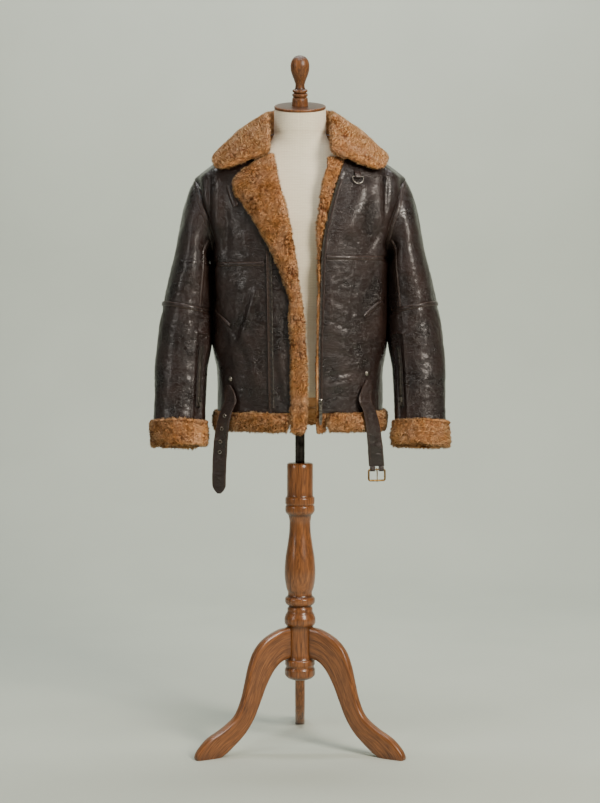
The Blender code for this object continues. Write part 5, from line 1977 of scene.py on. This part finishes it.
@dataclass
class FittingWork:
    """The D-ring and its keeper, the two hanging straps, their studs, and the buckle."""

    looks: Finishes
    d_ring: tuple[float, float] = (0.1275, 1.306)
    ring_half: float = 0.0134
    bar: float = 0.0022
    strap_thick: float = 0.0028
    twist: float = 0.62
    eyelets: tuple[float, ...] = (0.7728, 0.7449, 0.7159, 0.6925)
    buckle: tuple[float, float, float] = (0.041, 0.028, 0.0032)
    studs: dict[str, tuple[float, float]] = field(
        default_factory=lambda: {"right": (-0.156, 0.856), "left": (0.15, 0.869)}
    )
    right: Rows = (
        (-0.156, 0.842, 0.012, 0.006), (-0.153, 0.828, 0.026, 0.0066), (-0.15, 0.806, 0.036, 0.01),
        (-0.1545, 0.785, 0.036, 0.016), (-0.1585, 0.765, 0.035, 0.018), (-0.164, 0.738, 0.035, 0.018),
        (-0.169, 0.7, 0.034, 0.0165), (-0.172, 0.656, 0.033, 0.015), (-0.173, 0.616, 0.032, 0.015),
        (-0.173, 0.604, 0.022, 0.015), (-0.173, 0.597, 0.008, 0.015),
    )
    left: Rows = (
        (0.15, 0.855, 0.014, 0.0066), (0.145, 0.835, 0.028, 0.007), (0.14, 0.808, 0.036, 0.01),
        (0.147, 0.785, 0.036, 0.016), (0.152, 0.755, 0.036, 0.018), (0.156, 0.725, 0.036, 0.018),
        (0.16, 0.695, 0.036, 0.0165), (0.164, 0.66, 0.036, 0.015),
    )

    def hang(self, rows: Rows) -> tuple[Array, tuple[Array, Array, Array]]:
        """The hem's point and directions at a strap."""
        phi = BODY.phi_at(np.array(rows[3][0]), HEM_Z)
        return BODY.point(phi, HEM_Z), frame_at(BODY.normal(phi, HEM_Z) * [1, 1, 0])

    def strap_point(self, rows: Rows, x: float, z: float, off: float) -> Array:
        """A point in a strap's hanging plane."""
        p, (across, _, out) = self.hang(rows)
        return p + (x - p[0]) / across[0] * across + np.array([0, 0, z - p[2]]) + off * out

    def strap_turn(self, rows: Rows, z: float) -> tuple[Array, Array, Array]:
        """The strap's directions at a height: it twists to face the front as it hangs.

        Args:
            rows: the strap's rows.
            z: the height.

        Returns:
            Across, up and out.
        """
        _, (_, _, out) = self.hang(rows)
        share = self.twist * min(1.0, max(0.0, (rows[3][1] - z) / 0.1))
        return frame_at(out * (1 - share) + np.array([0.0, -1.0, 0.0]) * share)

    def strap(self, side: Side) -> None:
        """A hanging strap with its stitches, and its eyelets where it has them.

        Args:
            side: which strap.
        """
        rows = self.right if side is Side.RIGHT else self.left
        falling = [(-r[1], *r) for r in rows]
        at = np.linspace(falling[0][0], falling[-1][0], 84)
        x, z, width, off = (Curve(falling, k)(at) for k in (1, 2, 3, 4))
        loops, spots, outs = [], [], []
        u = np.concatenate([[-0.5], np.linspace(-0.47, 0.47, 13), [0.5]])
        edge = np.abs(2 * u) > 0.99
        cup = 0.0008 * (1 - (2 * u) ** 2)
        half = self.strap_thick / 2
        for k in range(len(at)):
            across, _, out = self.strap_turn(rows, z[k])
            mid = self.strap_point(rows, x[k], z[k], off[k])
            wave = 0.0009 * math.sin(z[k] * 62 + side.value) + 0.0013 * noise(mid / 0.011, 21)
            top = half * np.where(edge, 0.35, 1.0) + cup + wave
            low = -half * np.where(edge, 0.35, 1.0) + cup + wave
            line = mid + u[:, None] * width[k] * across
            loops.append(np.concatenate([line + top[:, None] * out, (line + low[:, None] * out)[::-1]]))
            spots.append(mid + (half + 0.0008 + wave) * out)
            outs.append(out)
        spots, outs = np.array(spots), np.array(outs)
        wear = np.concatenate([0.1 + 0.5 * np.abs(2 * u) ** 8, np.full(len(u), 0.1)])
        shape = Shape().add(*loft_of(np.array(loops)), wear=np.tile(wear, len(loops)))
        for sign in (-1, 1):
            shape.add(*stitches(spots[4:-6], outs[4:-6], off=sign * 0.0138, pitch=0.0036), 1)
        if side is Side.RIGHT:
            for height in self.eyelets:
                k = int(np.argmin(np.abs(z - height)))
                across, up, out = self.strap_turn(rows, z[k])
                rim = circle(across, up, 24)
                shape.add(*loft_of(tube_loops(spots[k] + 0.0036 * rim, 0.0011, 8, True, tuple(out)), True), 2)
                # a dark disc of the zip-tape twill fills each eyelet: painted shade for a hole that isn't cut through
                # the strap
                hole = np.stack([spots[k] + r * rim + h * out
                                 for r, h in ((0.003, -0.0006), (0.003, 0.0001), (0.0006, 0.0001))])
                shape.add(*loft_of(hole), 3)
        word = side.name.lower()
        looks = [self.looks.leather, self.looks.thread, self.looks.nickel, self.looks.tape]
        place(shape.build(f"belt_{word}_strap", looks, 40), Slot.LEATHER, f"belt_{word}")

    def stud(self, side: Side) -> None:
        """A domed stud with a rim.

        Args:
            side: which stud.
        """
        word = side.name.lower()
        phi, t = BODY.front_at(*[np.array(v) for v in self.studs[word]])
        across, up, out = frame_at(BODY.normal(phi, t))
        base = BODY.point(phi, t)
        rim = circle(across, up, 32)
        profile = evenly(np.array([
            (0.0046, 0.0004), (0.0058, 0.001), (0.0058, 0.0018), (0.0047, 0.0022), (0.0043, 0.003),
            (0.0026, 0.0041), (0.0006, 0.0044),
        ]), 26)
        loops = np.stack([base + r * rim + h * out for r, h in profile])
        piece = Shape().add(*loft_of(loops)).build(f"belt_stud_{word}_dome", [self.looks.nickel])
        place(piece, Slot.NICKEL, f"belt_stud_{word}")

    def ring(self) -> None:
        """The D of round wire, hanging in its leather keeper."""
        phi, t = BODY.front_at(*[np.array(v) for v in self.d_ring])
        across, up, out = frame_at(BODY.normal(phi, t))
        pivot = BODY.point(phi, t) + 0.0052 * out
        r = self.ring_half - self.bar / 2
        a = np.linspace(0, math.pi, 15)
        arc = [(r * math.cos(v), -0.004 - (r + 0.0001) * math.sin(v)) for v in a]
        line = evenly(np.array([
            (r - 0.0006, -0.0003), *arc, (-r + 0.0006, -0.0003), (-r * 0.5, 0.0), (0.0, 0.0), (r * 0.5, 0.0),
        ]), 84, True)
        path = pivot + line[:, :1] * across + line[:, 1:] * up
        piece = Shape().add(*loft_of(tube_loops(path, self.bar / 2, 12, True, tuple(out)), True)).build(
            "d_ring_wire", [self.looks.nickel])
        place(piece, Slot.NICKEL, "d_ring", body="d_ring")
        section = evenly(np.array([
            (-0.0046, 0.013), (-0.0046, -0.003), (-0.003, -0.0036), (0.0018, -0.0036), (0.0034, -0.0024),
            (0.0034, 0.005), (0.0024, 0.0064), (-0.0018, 0.0126), (-0.0034, 0.0134),
        ]), 40, True)
        hole = 0.0018
        inside = evenly(np.array([(-hole, hole), (-hole, -hole), (hole, -hole), (hole, hole)]), 40, True)
        loops = []
        for w in (-0.007, -0.0066, -0.0035, 0.0, 0.0035, 0.0066, 0.007):
            shrink = 0.93 if abs(w) > 0.0069 else 1.0
            loops.append(pivot + section[:, :1] * shrink * out + section[:, 1:] * shrink * up + w * across)
        inner = np.array([pivot + inside[:, :1] * out + inside[:, 1:] * up + w * across
                          for w in (-0.0069, -0.0064, -0.0035, 0.0, 0.0035, 0.0064, 0.0069)])
        points, faces, _ = wall_of(np.array(loops), inner, True)
        keeper = Shape().add(points, faces, wear=0.35).build("d_ring_keeper_tab", [self.looks.leather], 60)
        place(keeper, Slot.LEATHER, "d_ring_keeper")

    def buckle_parts(self) -> None:
        """The cast frame, its prong, and the two end loops of the strap."""
        x, z, _, off = self.left[-1]
        across, up, out = self.strap_turn(self.left, z)
        wide, high, bar = self.buckle
        pivot = self.strap_point(self.left, x, z - 0.0075, off)
        middle = pivot - (high / 2 - bar / 2) * up
        w, h, r = wide / 2 - bar / 2, high / 2 - bar / 2, 0.0042
        corners = []
        for sx, sy, start in ((1, 1, 0), (-1, 1, 90), (-1, -1, 180), (1, -1, 270)):
            for a in np.radians(start + np.linspace(0, 90, 6)):
                corners.append((sx * (w - r) + r * math.cos(a), sy * (h - r) + r * math.sin(a)))
        line = evenly(np.array(corners), 110, True)
        path = middle + line[:, :1] * across + line[:, 1:] * up
        slim = np.where(np.abs(line[:, 1] - h) < 0.0004, 0.84, 1.35) * bar / 2
        frame_piece = Shape().add(*loft_of(tube_loops(path, slim, 14, True, tuple(out)), True)).build(
            "buckle_frame_cast", [self.looks.brass])
        place(frame_piece, Slot.BRASS, "buckle_frame", body="buckle_frame")
        side = evenly(np.array([(0.003, -0.0032), (0.0032, -0.01), (0.003, -0.019), (0.0027, -high - 0.0002)]), 30)
        path = pivot + side[:, :1] * out + side[:, 1:] * up
        prong = Shape().add(*loft_of(tube_loops(path, np.linspace(0.0013, 0.0009, 30), 10, False, tuple(across))))
        eye = pivot + 0.0032 * circle(out, up, 26)
        prong.add(*loft_of(tube_loops(eye, 0.0009, 10, True, tuple(across)), True))
        place(prong.build("buckle_prong_cast", [self.looks.brass]), Slot.BRASS, "buckle_prong", body="buckle_prong")
        outside = evenly(np.array([
            (0.004, 0.0068), (-0.004, 0.0068), (-0.0044, 0.0), (-0.0034, -0.0034), (0.0, -0.0044),
            (0.0034, -0.0034), (0.0044, 0.0),
        ]), 36, True)
        turn = full_turn(36) + 1.0
        hole = 0.0024 * np.stack([np.cos(turn), np.sin(turn)], 1)
        for part, shift in (("a", -0.01), ("b", 0.01)):
            at = pivot + shift * across
            order = np.argmin([np.abs(np.roll(hole, k, 0) - outside).sum() for k in range(36)])
            inside = np.roll(hole, int(order), 0)
            outer = np.array([at + outside[:, :1] * s * out + outside[:, 1:] * s * up + v * across
                              for v, s in ((-0.0052, 0.94), (-0.0047, 1.0), (0.0047, 1.0), (0.0052, 0.94))])
            inner = np.array([at + inside[:, :1] * out + inside[:, 1:] * up + v * across
                              for v in (-0.0051, -0.0047, 0.0047, 0.0051)])
            points, faces, _ = wall_of(outer, inner, True)
            piece = Shape().add(points, faces, wear=0.3).build(f"belt_loop_{part}_fold", [self.looks.leather], 60)
            place(piece, Slot.LEATHER, f"belt_loop_{part}")

    def build(self) -> None:
        """Makes every fitting."""
        for side in Side:
            self.strap(side)
            self.stud(side)
        self.ring()
        self.buckle_parts()


# ---- dress form and stand ----
@dataclass
class DressForm:
    """The padded linen torso with its neck cap and finial."""

    looks: Finishes
    cap_z: float = 1.47
    cap_tilt: float = math.radians(16)
    neck: float = 0.0585
    rows: Rows = (
        (0.815, 0.15, 0.104, 0.000), (0.828, 0.156, 0.11, 0.000), (0.88, 0.158, 0.111, 0.000),
        (0.96, 0.148, 0.103, 0.000), (1.04, 0.149, 0.104, -0.003), (1.13, 0.158, 0.111, -0.006),
        (1.2, 0.163, 0.111, -0.006), (1.26, 0.168, 0.1, -0.003), (1.31, 0.17, 0.085, 0.002),
        (1.336, 0.163, 0.076, 0.006), (1.352, 0.138, 0.071, 0.008), (1.367, 0.108, 0.067, 0.008),
        (1.382, 0.082, 0.063, 0.007), (1.396, 0.067, 0.0605, 0.005), (1.412, 0.0605, 0.059, 0.002),
    )
    finial: Rows = (
        (0.0185, 0.000), (0.0178, 0.016), (0.015, 0.019), (0.0178, 0.023), (0.0178, 0.026), (0.014, 0.029),
        (0.0172, 0.032), (0.0172, 0.035), (0.0118, 0.038), (0.0105, 0.046), (0.013, 0.056), (0.0183, 0.07),
        (0.0212, 0.082), (0.0215, 0.091), (0.019, 0.101), (0.0125, 0.1095), (0.004, 0.113),
    )

    def torso(self) -> None:
        """The linen torso, with a seam down the front, one down the back and one at each side."""
        half, depth, middle = curves(self.rows)
        z = np.linspace(0.815, 1.412, 100)
        a = full_turn(112)
        power = 2 / (2.3 - 0.2 * ease(z, 1.27, 1.33))[:, None]
        c, s = np.cos(a), np.sin(a)
        x = half(z)[:, None] * np.sign(c) * np.abs(c) ** power
        y = middle(z)[:, None] + depth(z)[:, None] * np.sign(s) * np.abs(s) ** power
        loops = np.stack([x, y, z[:, None] + 0 * x], -1)
        lean = self.cap_tilt
        top = np.array([0, -0.004, self.cap_z]) + self.neck * np.stack(
            [np.cos(a), np.sin(a) * math.cos(lean), np.sin(a) * math.sin(lean)], -1)
        share = np.linspace(0, 1, 18)[1:, None, None]
        neck = loops[-1] * (1 - share) + top * share
        loops = np.concatenate([loops, neck])
        n = grid_normals(loops, False, True)
        if (n * (loops - loops.mean(1, keepdims=True))).sum() < 0:
            n = -n
        quarters = (-math.pi / 2, math.pi / 2, 0, math.pi)
        seam = sum(np.exp(-((np.angle(np.exp(1j * (a - at))) / 0.016) ** 2)) for at in quarters)
        groove = -0.0007 * seam[None, :] * np.ones((len(loops), 1))
        groove = groove - 0.0006 * np.exp(-(((np.arange(len(loops)) - 99) / 1.0) ** 2))[:, None]
        loops = loops + (groove + 0.0007 * noise(loops / 0.07, 77))[..., None] * n
        piece = Shape().add(*loft_of(loops)).build("linen_form", [self.looks.linen])
        place(piece, Slot.LINEN, "dress_form")

    def wood(self) -> None:
        """The neck cap and the finial."""
        axis = np.array([0.0, -math.sin(self.cap_tilt), math.cos(self.cap_tilt)])
        centre = np.array([0.0, -0.004, self.cap_z])
        wide = self.neck + 0.0004
        disc = evenly(np.array([
            (0.054, 0.0), (wide - 0.0006, 0.0004), (wide, 0.002), (wide, 0.0042), (wide - 0.001, 0.0058),
            (0.054, 0.0064),
        ]), 24)
        disc = np.concatenate([disc, [(0.03, 0.0066), (0.002, 0.0066)]])
        self.turned("neck_cap", "neck_cap_disc", disc, centre + 0.0004 * axis)
        heights = Curve([(h, r) for r, h in self.finial])
        h = np.unique(np.concatenate([np.linspace(a[1], b[1], 5) for a, b in zip(self.finial, self.finial[1:])]))
        profile = np.stack([heights(h), h], 1)
        self.turned("finial", "finial_knob", profile, centre + 0.0072 * axis)

    def turned(self, node: str, name: str, profile: Array, at: Array) -> None:
        """One turned part on the neck's tilted axis.

        Args:
            node: the CAD node it stands for.
            name: the piece's name.
            profile: (radius, height) rows.
            at: where it starts.
        """
        points, faces = turned_of(profile, at, self.cap_tilt, 72)
        piece = Shape().add(points, faces, grain=points - at, wear=crevices(profile, 72)).build(
            name, [self.looks.dark_wood], 60)
        place(piece, Slot.DARK_WOOD, node)

    def build(self) -> None:
        """Makes the torso and the wood on top of it."""
        self.torso()
        self.wood()


def crevices(profile: Array, sides: int) -> Array:
    """How much darker a turned profile's colour is in its grooves, for every point of the solid.

    Args:
        profile: (radius, height) rows.
        sides: points round the solid.

    Returns:
        One share for each point.
    """
    r = profile[:, 0]
    run = run_of(profile)
    around = np.array([np.interp(np.clip([s - 0.006, s + 0.006], 0, run[-1]), run, r).max() for s in run])
    return np.repeat(0.75 * ease(around - r, 0.0012, 0.005), sides)


@dataclass
class Stand:
    """The pole, the turned column and its three curved legs."""

    looks: Finishes
    column_rows: Rows = (
        (0.02, 0.156), (0.029, 0.16), (0.0352, 0.168), (0.0352, 0.18), (0.0325, 0.184), (0.0325, 0.188),
        (0.0347, 0.191), (0.0347, 0.201), (0.031, 0.2045), (0.031, 0.2815), (0.0345, 0.285), (0.0361, 0.29),
        (0.0361, 0.297), (0.0334, 0.307), (0.0293, 0.316), (0.0293, 0.322), (0.0262, 0.327), (0.033, 0.333),
        (0.0347, 0.338), (0.0347, 0.345), (0.0285, 0.352), (0.028, 0.357), (0.0318, 0.37), (0.035, 0.39),
        (0.0358, 0.405), (0.0345, 0.432), (0.029, 0.47), (0.025, 0.5), (0.0243, 0.52), (0.027, 0.538),
        (0.0318, 0.5435), (0.034, 0.548), (0.034, 0.559), (0.0315, 0.562), (0.034, 0.565), (0.034, 0.578),
        (0.031, 0.582), (0.0301, 0.585), (0.0301, 0.656), (0.027, 0.659),
    )
    leg_back: Rows = (
        (0.0315, 0.28), (0.057, 0.2756), (0.094, 0.258), (0.1186, 0.233), (0.133, 0.2), (0.143, 0.16),
        (0.153, 0.122), (0.17, 0.088), (0.202, 0.064), (0.24, 0.044), (0.2634, 0.022), (0.272, 0.006),
        (0.2705, 0.000),
    )
    leg_belly: Rows = (
        (0.208, 0.000), (0.188, 0.012), (0.15, 0.044), (0.125, 0.078), (0.1064, 0.118), (0.092, 0.151),
        (0.0735, 0.182), (0.054, 0.201), (0.0315, 0.209),
    )
    leg_thick: float = 0.024
    column_top: float = 0.659
    form_base: float = 0.815

    def leg(self, node: str, heading: float) -> None:
        """A curved leg with rounded edges.

        Args:
            node: the CAD node it stands for.
            heading: which way it points, in radians.
        """
        count = 96
        back, belly = evenly(np.array(self.leg_back), count), evenly(np.array(self.leg_belly[::-1]), count)
        back[:, 1], belly[:, 1] = np.maximum(back[:, 1], 0), np.maximum(belly[:, 1], 0)
        along = np.array([math.cos(heading), math.sin(heading), 0.0])
        across = np.array([-along[1], along[0], 0.0])
        turn = 2 * math.pi * (np.arange(28) + 0.5) / 28
        e = 2 / 5.0
        u = np.sign(np.cos(turn)) * np.abs(np.cos(turn)) ** e
        v = np.sign(np.sin(turn)) * np.abs(np.sin(turn)) ** e
        a = back[:, :1] * along + back[:, 1:] * [0, 0, 1.0]
        b = belly[:, :1] * along + belly[:, 1:] * [0, 0, 1.0]
        middle, half = (a + b) / 2, (a - b) / 2
        loops = middle[:, None] + u[None, :, None] * half[:, None] + v[None, :, None] * self.leg_thick / 2 * across
        loops[..., 2] = np.maximum(loops[..., 2], 0)
        run = run_of(middle)
        size = np.linalg.norm(half, axis=1)
        grain = np.stack([
            size[:, None] * u[None], self.leg_thick / 2 * v[None] + 0 * size[:, None], run[:, None] + 0 * u[None]
        ], -1) + [heading, 0, 0]
        # painted shade: the wood is darker within 2 cm of the floor and where the leg meets the column
        painted_shade = 0.35 * ease(0.02 - loops[..., 2], 0, 0.02) + 0.3 * np.exp(-run / 0.01)[:, None]
        points, faces = loft_of(loops)
        piece = Shape().add(points, faces, grain=grain.reshape(-1, 3), wear=painted_shade.ravel()).build(
            f"{node}_wood", [self.looks.wood], 60)
        place(piece, Slot.WOOD, node)

    def build(self) -> None:
        """Makes the stand."""
        rows = self.column_rows
        line = Curve([(h, r) for r, h in rows])
        h = np.unique(np.concatenate([
            np.linspace(a[1], b[1], max(3, min(8, int((b[1] - a[1]) / 0.0016)))) for a, b in zip(rows, rows[1:])
        ]))
        profile = np.stack([line(h), h], 1)
        points, faces = turned_of(profile, sides=72)
        piece = Shape().add(points, faces, grain=points, wear=crevices(profile, 72)).build(
            "column_turning", [self.looks.wood], 60)
        place(piece, Slot.WOOD, "column")
        low, high = self.column_top + SEAM, self.form_base - SEAM
        straight = [(0.011, v) for v in np.linspace(low + 0.01, high - 0.01, 12)]
        tube = np.array([(0.0102, low), (0.011, low + 0.0008), *straight, (0.011, high - 0.0008), (0.0102, high)])
        place(Shape().add(*turned_of(tube, sides=64)).build("pole_tube", [self.looks.steel]), Slot.STEEL, "pole")
        for node, degrees in (("leg_left", -30), ("leg_right", 210), ("leg_back", 90)):
            self.leg(node, math.radians(degrees))


# ---- studio ----
@dataclass
class Studio:
    """A plain pale sweep, soft lights and the camera."""

    distance: float = 4.0
    height: float = 1.0
    dip: float = math.radians(2.85)
    lens: float = 1739 / 803 * 24
    floor: str = "#C9D0C3"

    def sweep(self) -> None:
        """A floor that curves up into a backdrop."""
        side = np.linspace(-6, 6, 3)
        line = [(-6.0, 0.0), (2.0, 0.0)] + [
            (2.0 + 1.2 * math.sin(a), 1.2 - 1.2 * math.cos(a)) for a in np.linspace(0.1, math.pi / 2, 14)
        ] + [(3.2, 6.0)]
        points = np.array([[(x, y, z) for x in side] for y, z in line])
        mesh = bpy.data.meshes.new("sweep")
        mesh.from_pydata(points.reshape(-1, 3).tolist(), [], grid_faces(len(line), 3))
        mesh.shade_smooth()
        look, tree, shader = new_look("matt_paper_sweep")
        at = add_node(tree, "TexCoord").outputs["Object"]
        fibre = add_node(tree, "TexNoise", {"Vector": at, "Scale": per_metre(400), "Detail": 2.0}).outputs[0]
        tone = add_node(tree, "ValToRGB", {0: fibre}, stops=((0.3, self.floor), (0.7, "#C5CCBF"))).outputs[0]
        feed(shader, {"Base Color": tone, "Roughness": 0.95})
        mesh.materials.append(look)
        show("sweep", mesh)

    def light(self, name: str, at: tuple[float, float, float], aim: tuple[float, float, float],
              size: tuple[float, float], watts: float, tint: str = "#FFFFFF") -> None:
        """A soft rectangular light aimed at a point.

        Args:
            name: the light's name.
            at: where it is.
            aim: the point it faces.
            size: its width and height.
            watts: its power.
            tint: its colour.
        """
        data = bpy.data.lights.new(name, "AREA")
        data.shape, data.size, data.size_y = "RECTANGLE", size[0], size[1]
        data.energy, data.color = watts, linear(tint)[:3]
        lamp = show(name, data)
        lamp.location = at
        lamp.rotation_euler = (Vector(aim) - Vector(at)).to_track_quat("-Z", "Y").to_euler()

    def build(self) -> None:
        """Makes the sweep, the lights and the camera."""
        self.sweep()
        self.light("key", (2.1, -2.8, 2.5), (0.0, 0.0, 1.0), (1.1, 1.7), 150, "#FFF4E6")
        self.light("fill", (-2.7, -2.0, 1.8), (0.0, 0.0, 1.0), (0.5, 1.8), 20, "#FFFAF2")
        self.light("top", (0.0, -0.9, 3.4), (0.0, -0.1, 1.1), (1.6, 1.0), 30)
        self.light("backdrop", (0.0, 0.9, 3.9), (0.0, 2.9, 0.8), (4.0, 0.7), 110)
        world = bpy.data.worlds.new("studio")
        world.use_nodes = True
        feed(world.node_tree.nodes["Background"], {"Color": linear("#D5DAD2"), "Strength": 0.17})
        bpy.context.scene.world = world
        data = bpy.data.cameras.new("camera")
        data.sensor_fit, data.sensor_height, data.lens = "VERTICAL", 24.0, self.lens
        camera = show("camera", data)
        camera.location = (0.0, AXIS_Y - self.distance, self.height)
        aim = Vector((0.0, AXIS_Y, self.height - self.distance * math.tan(self.dip)))
        camera.rotation_euler = (aim - camera.location).to_track_quat("-Z", "Y").to_euler()
        bpy.context.scene.camera = camera


def main() -> None:
    """Builds the studio and every part of the object."""
    logging.basicConfig(level=logging.INFO, format="%(name)s: %(message)s")
    Studio().build()
    looks = Finishes()
    leather = LeatherWork(looks)
    leather.body()
    leather.sleeves()
    wool = WoolWork(looks, leather)
    wool.collar()
    wool.fronts()
    wool.hem()
    wool.cuffs()
    TrimWork(looks, leather).build()
    ZipWork(looks, leather).build()
    FittingWork(looks).build()
    DressForm(looks).build()
    Stand(looks).build()
    total = sum(sum(len(f.vertices) - 2 for f in o.data.polygons) for o in bpy.data.objects
                if o.type == "MESH" and not o.hide_render)
    LOG.info("%d triangles in all", total)


if __name__ == "__main__":
    main()
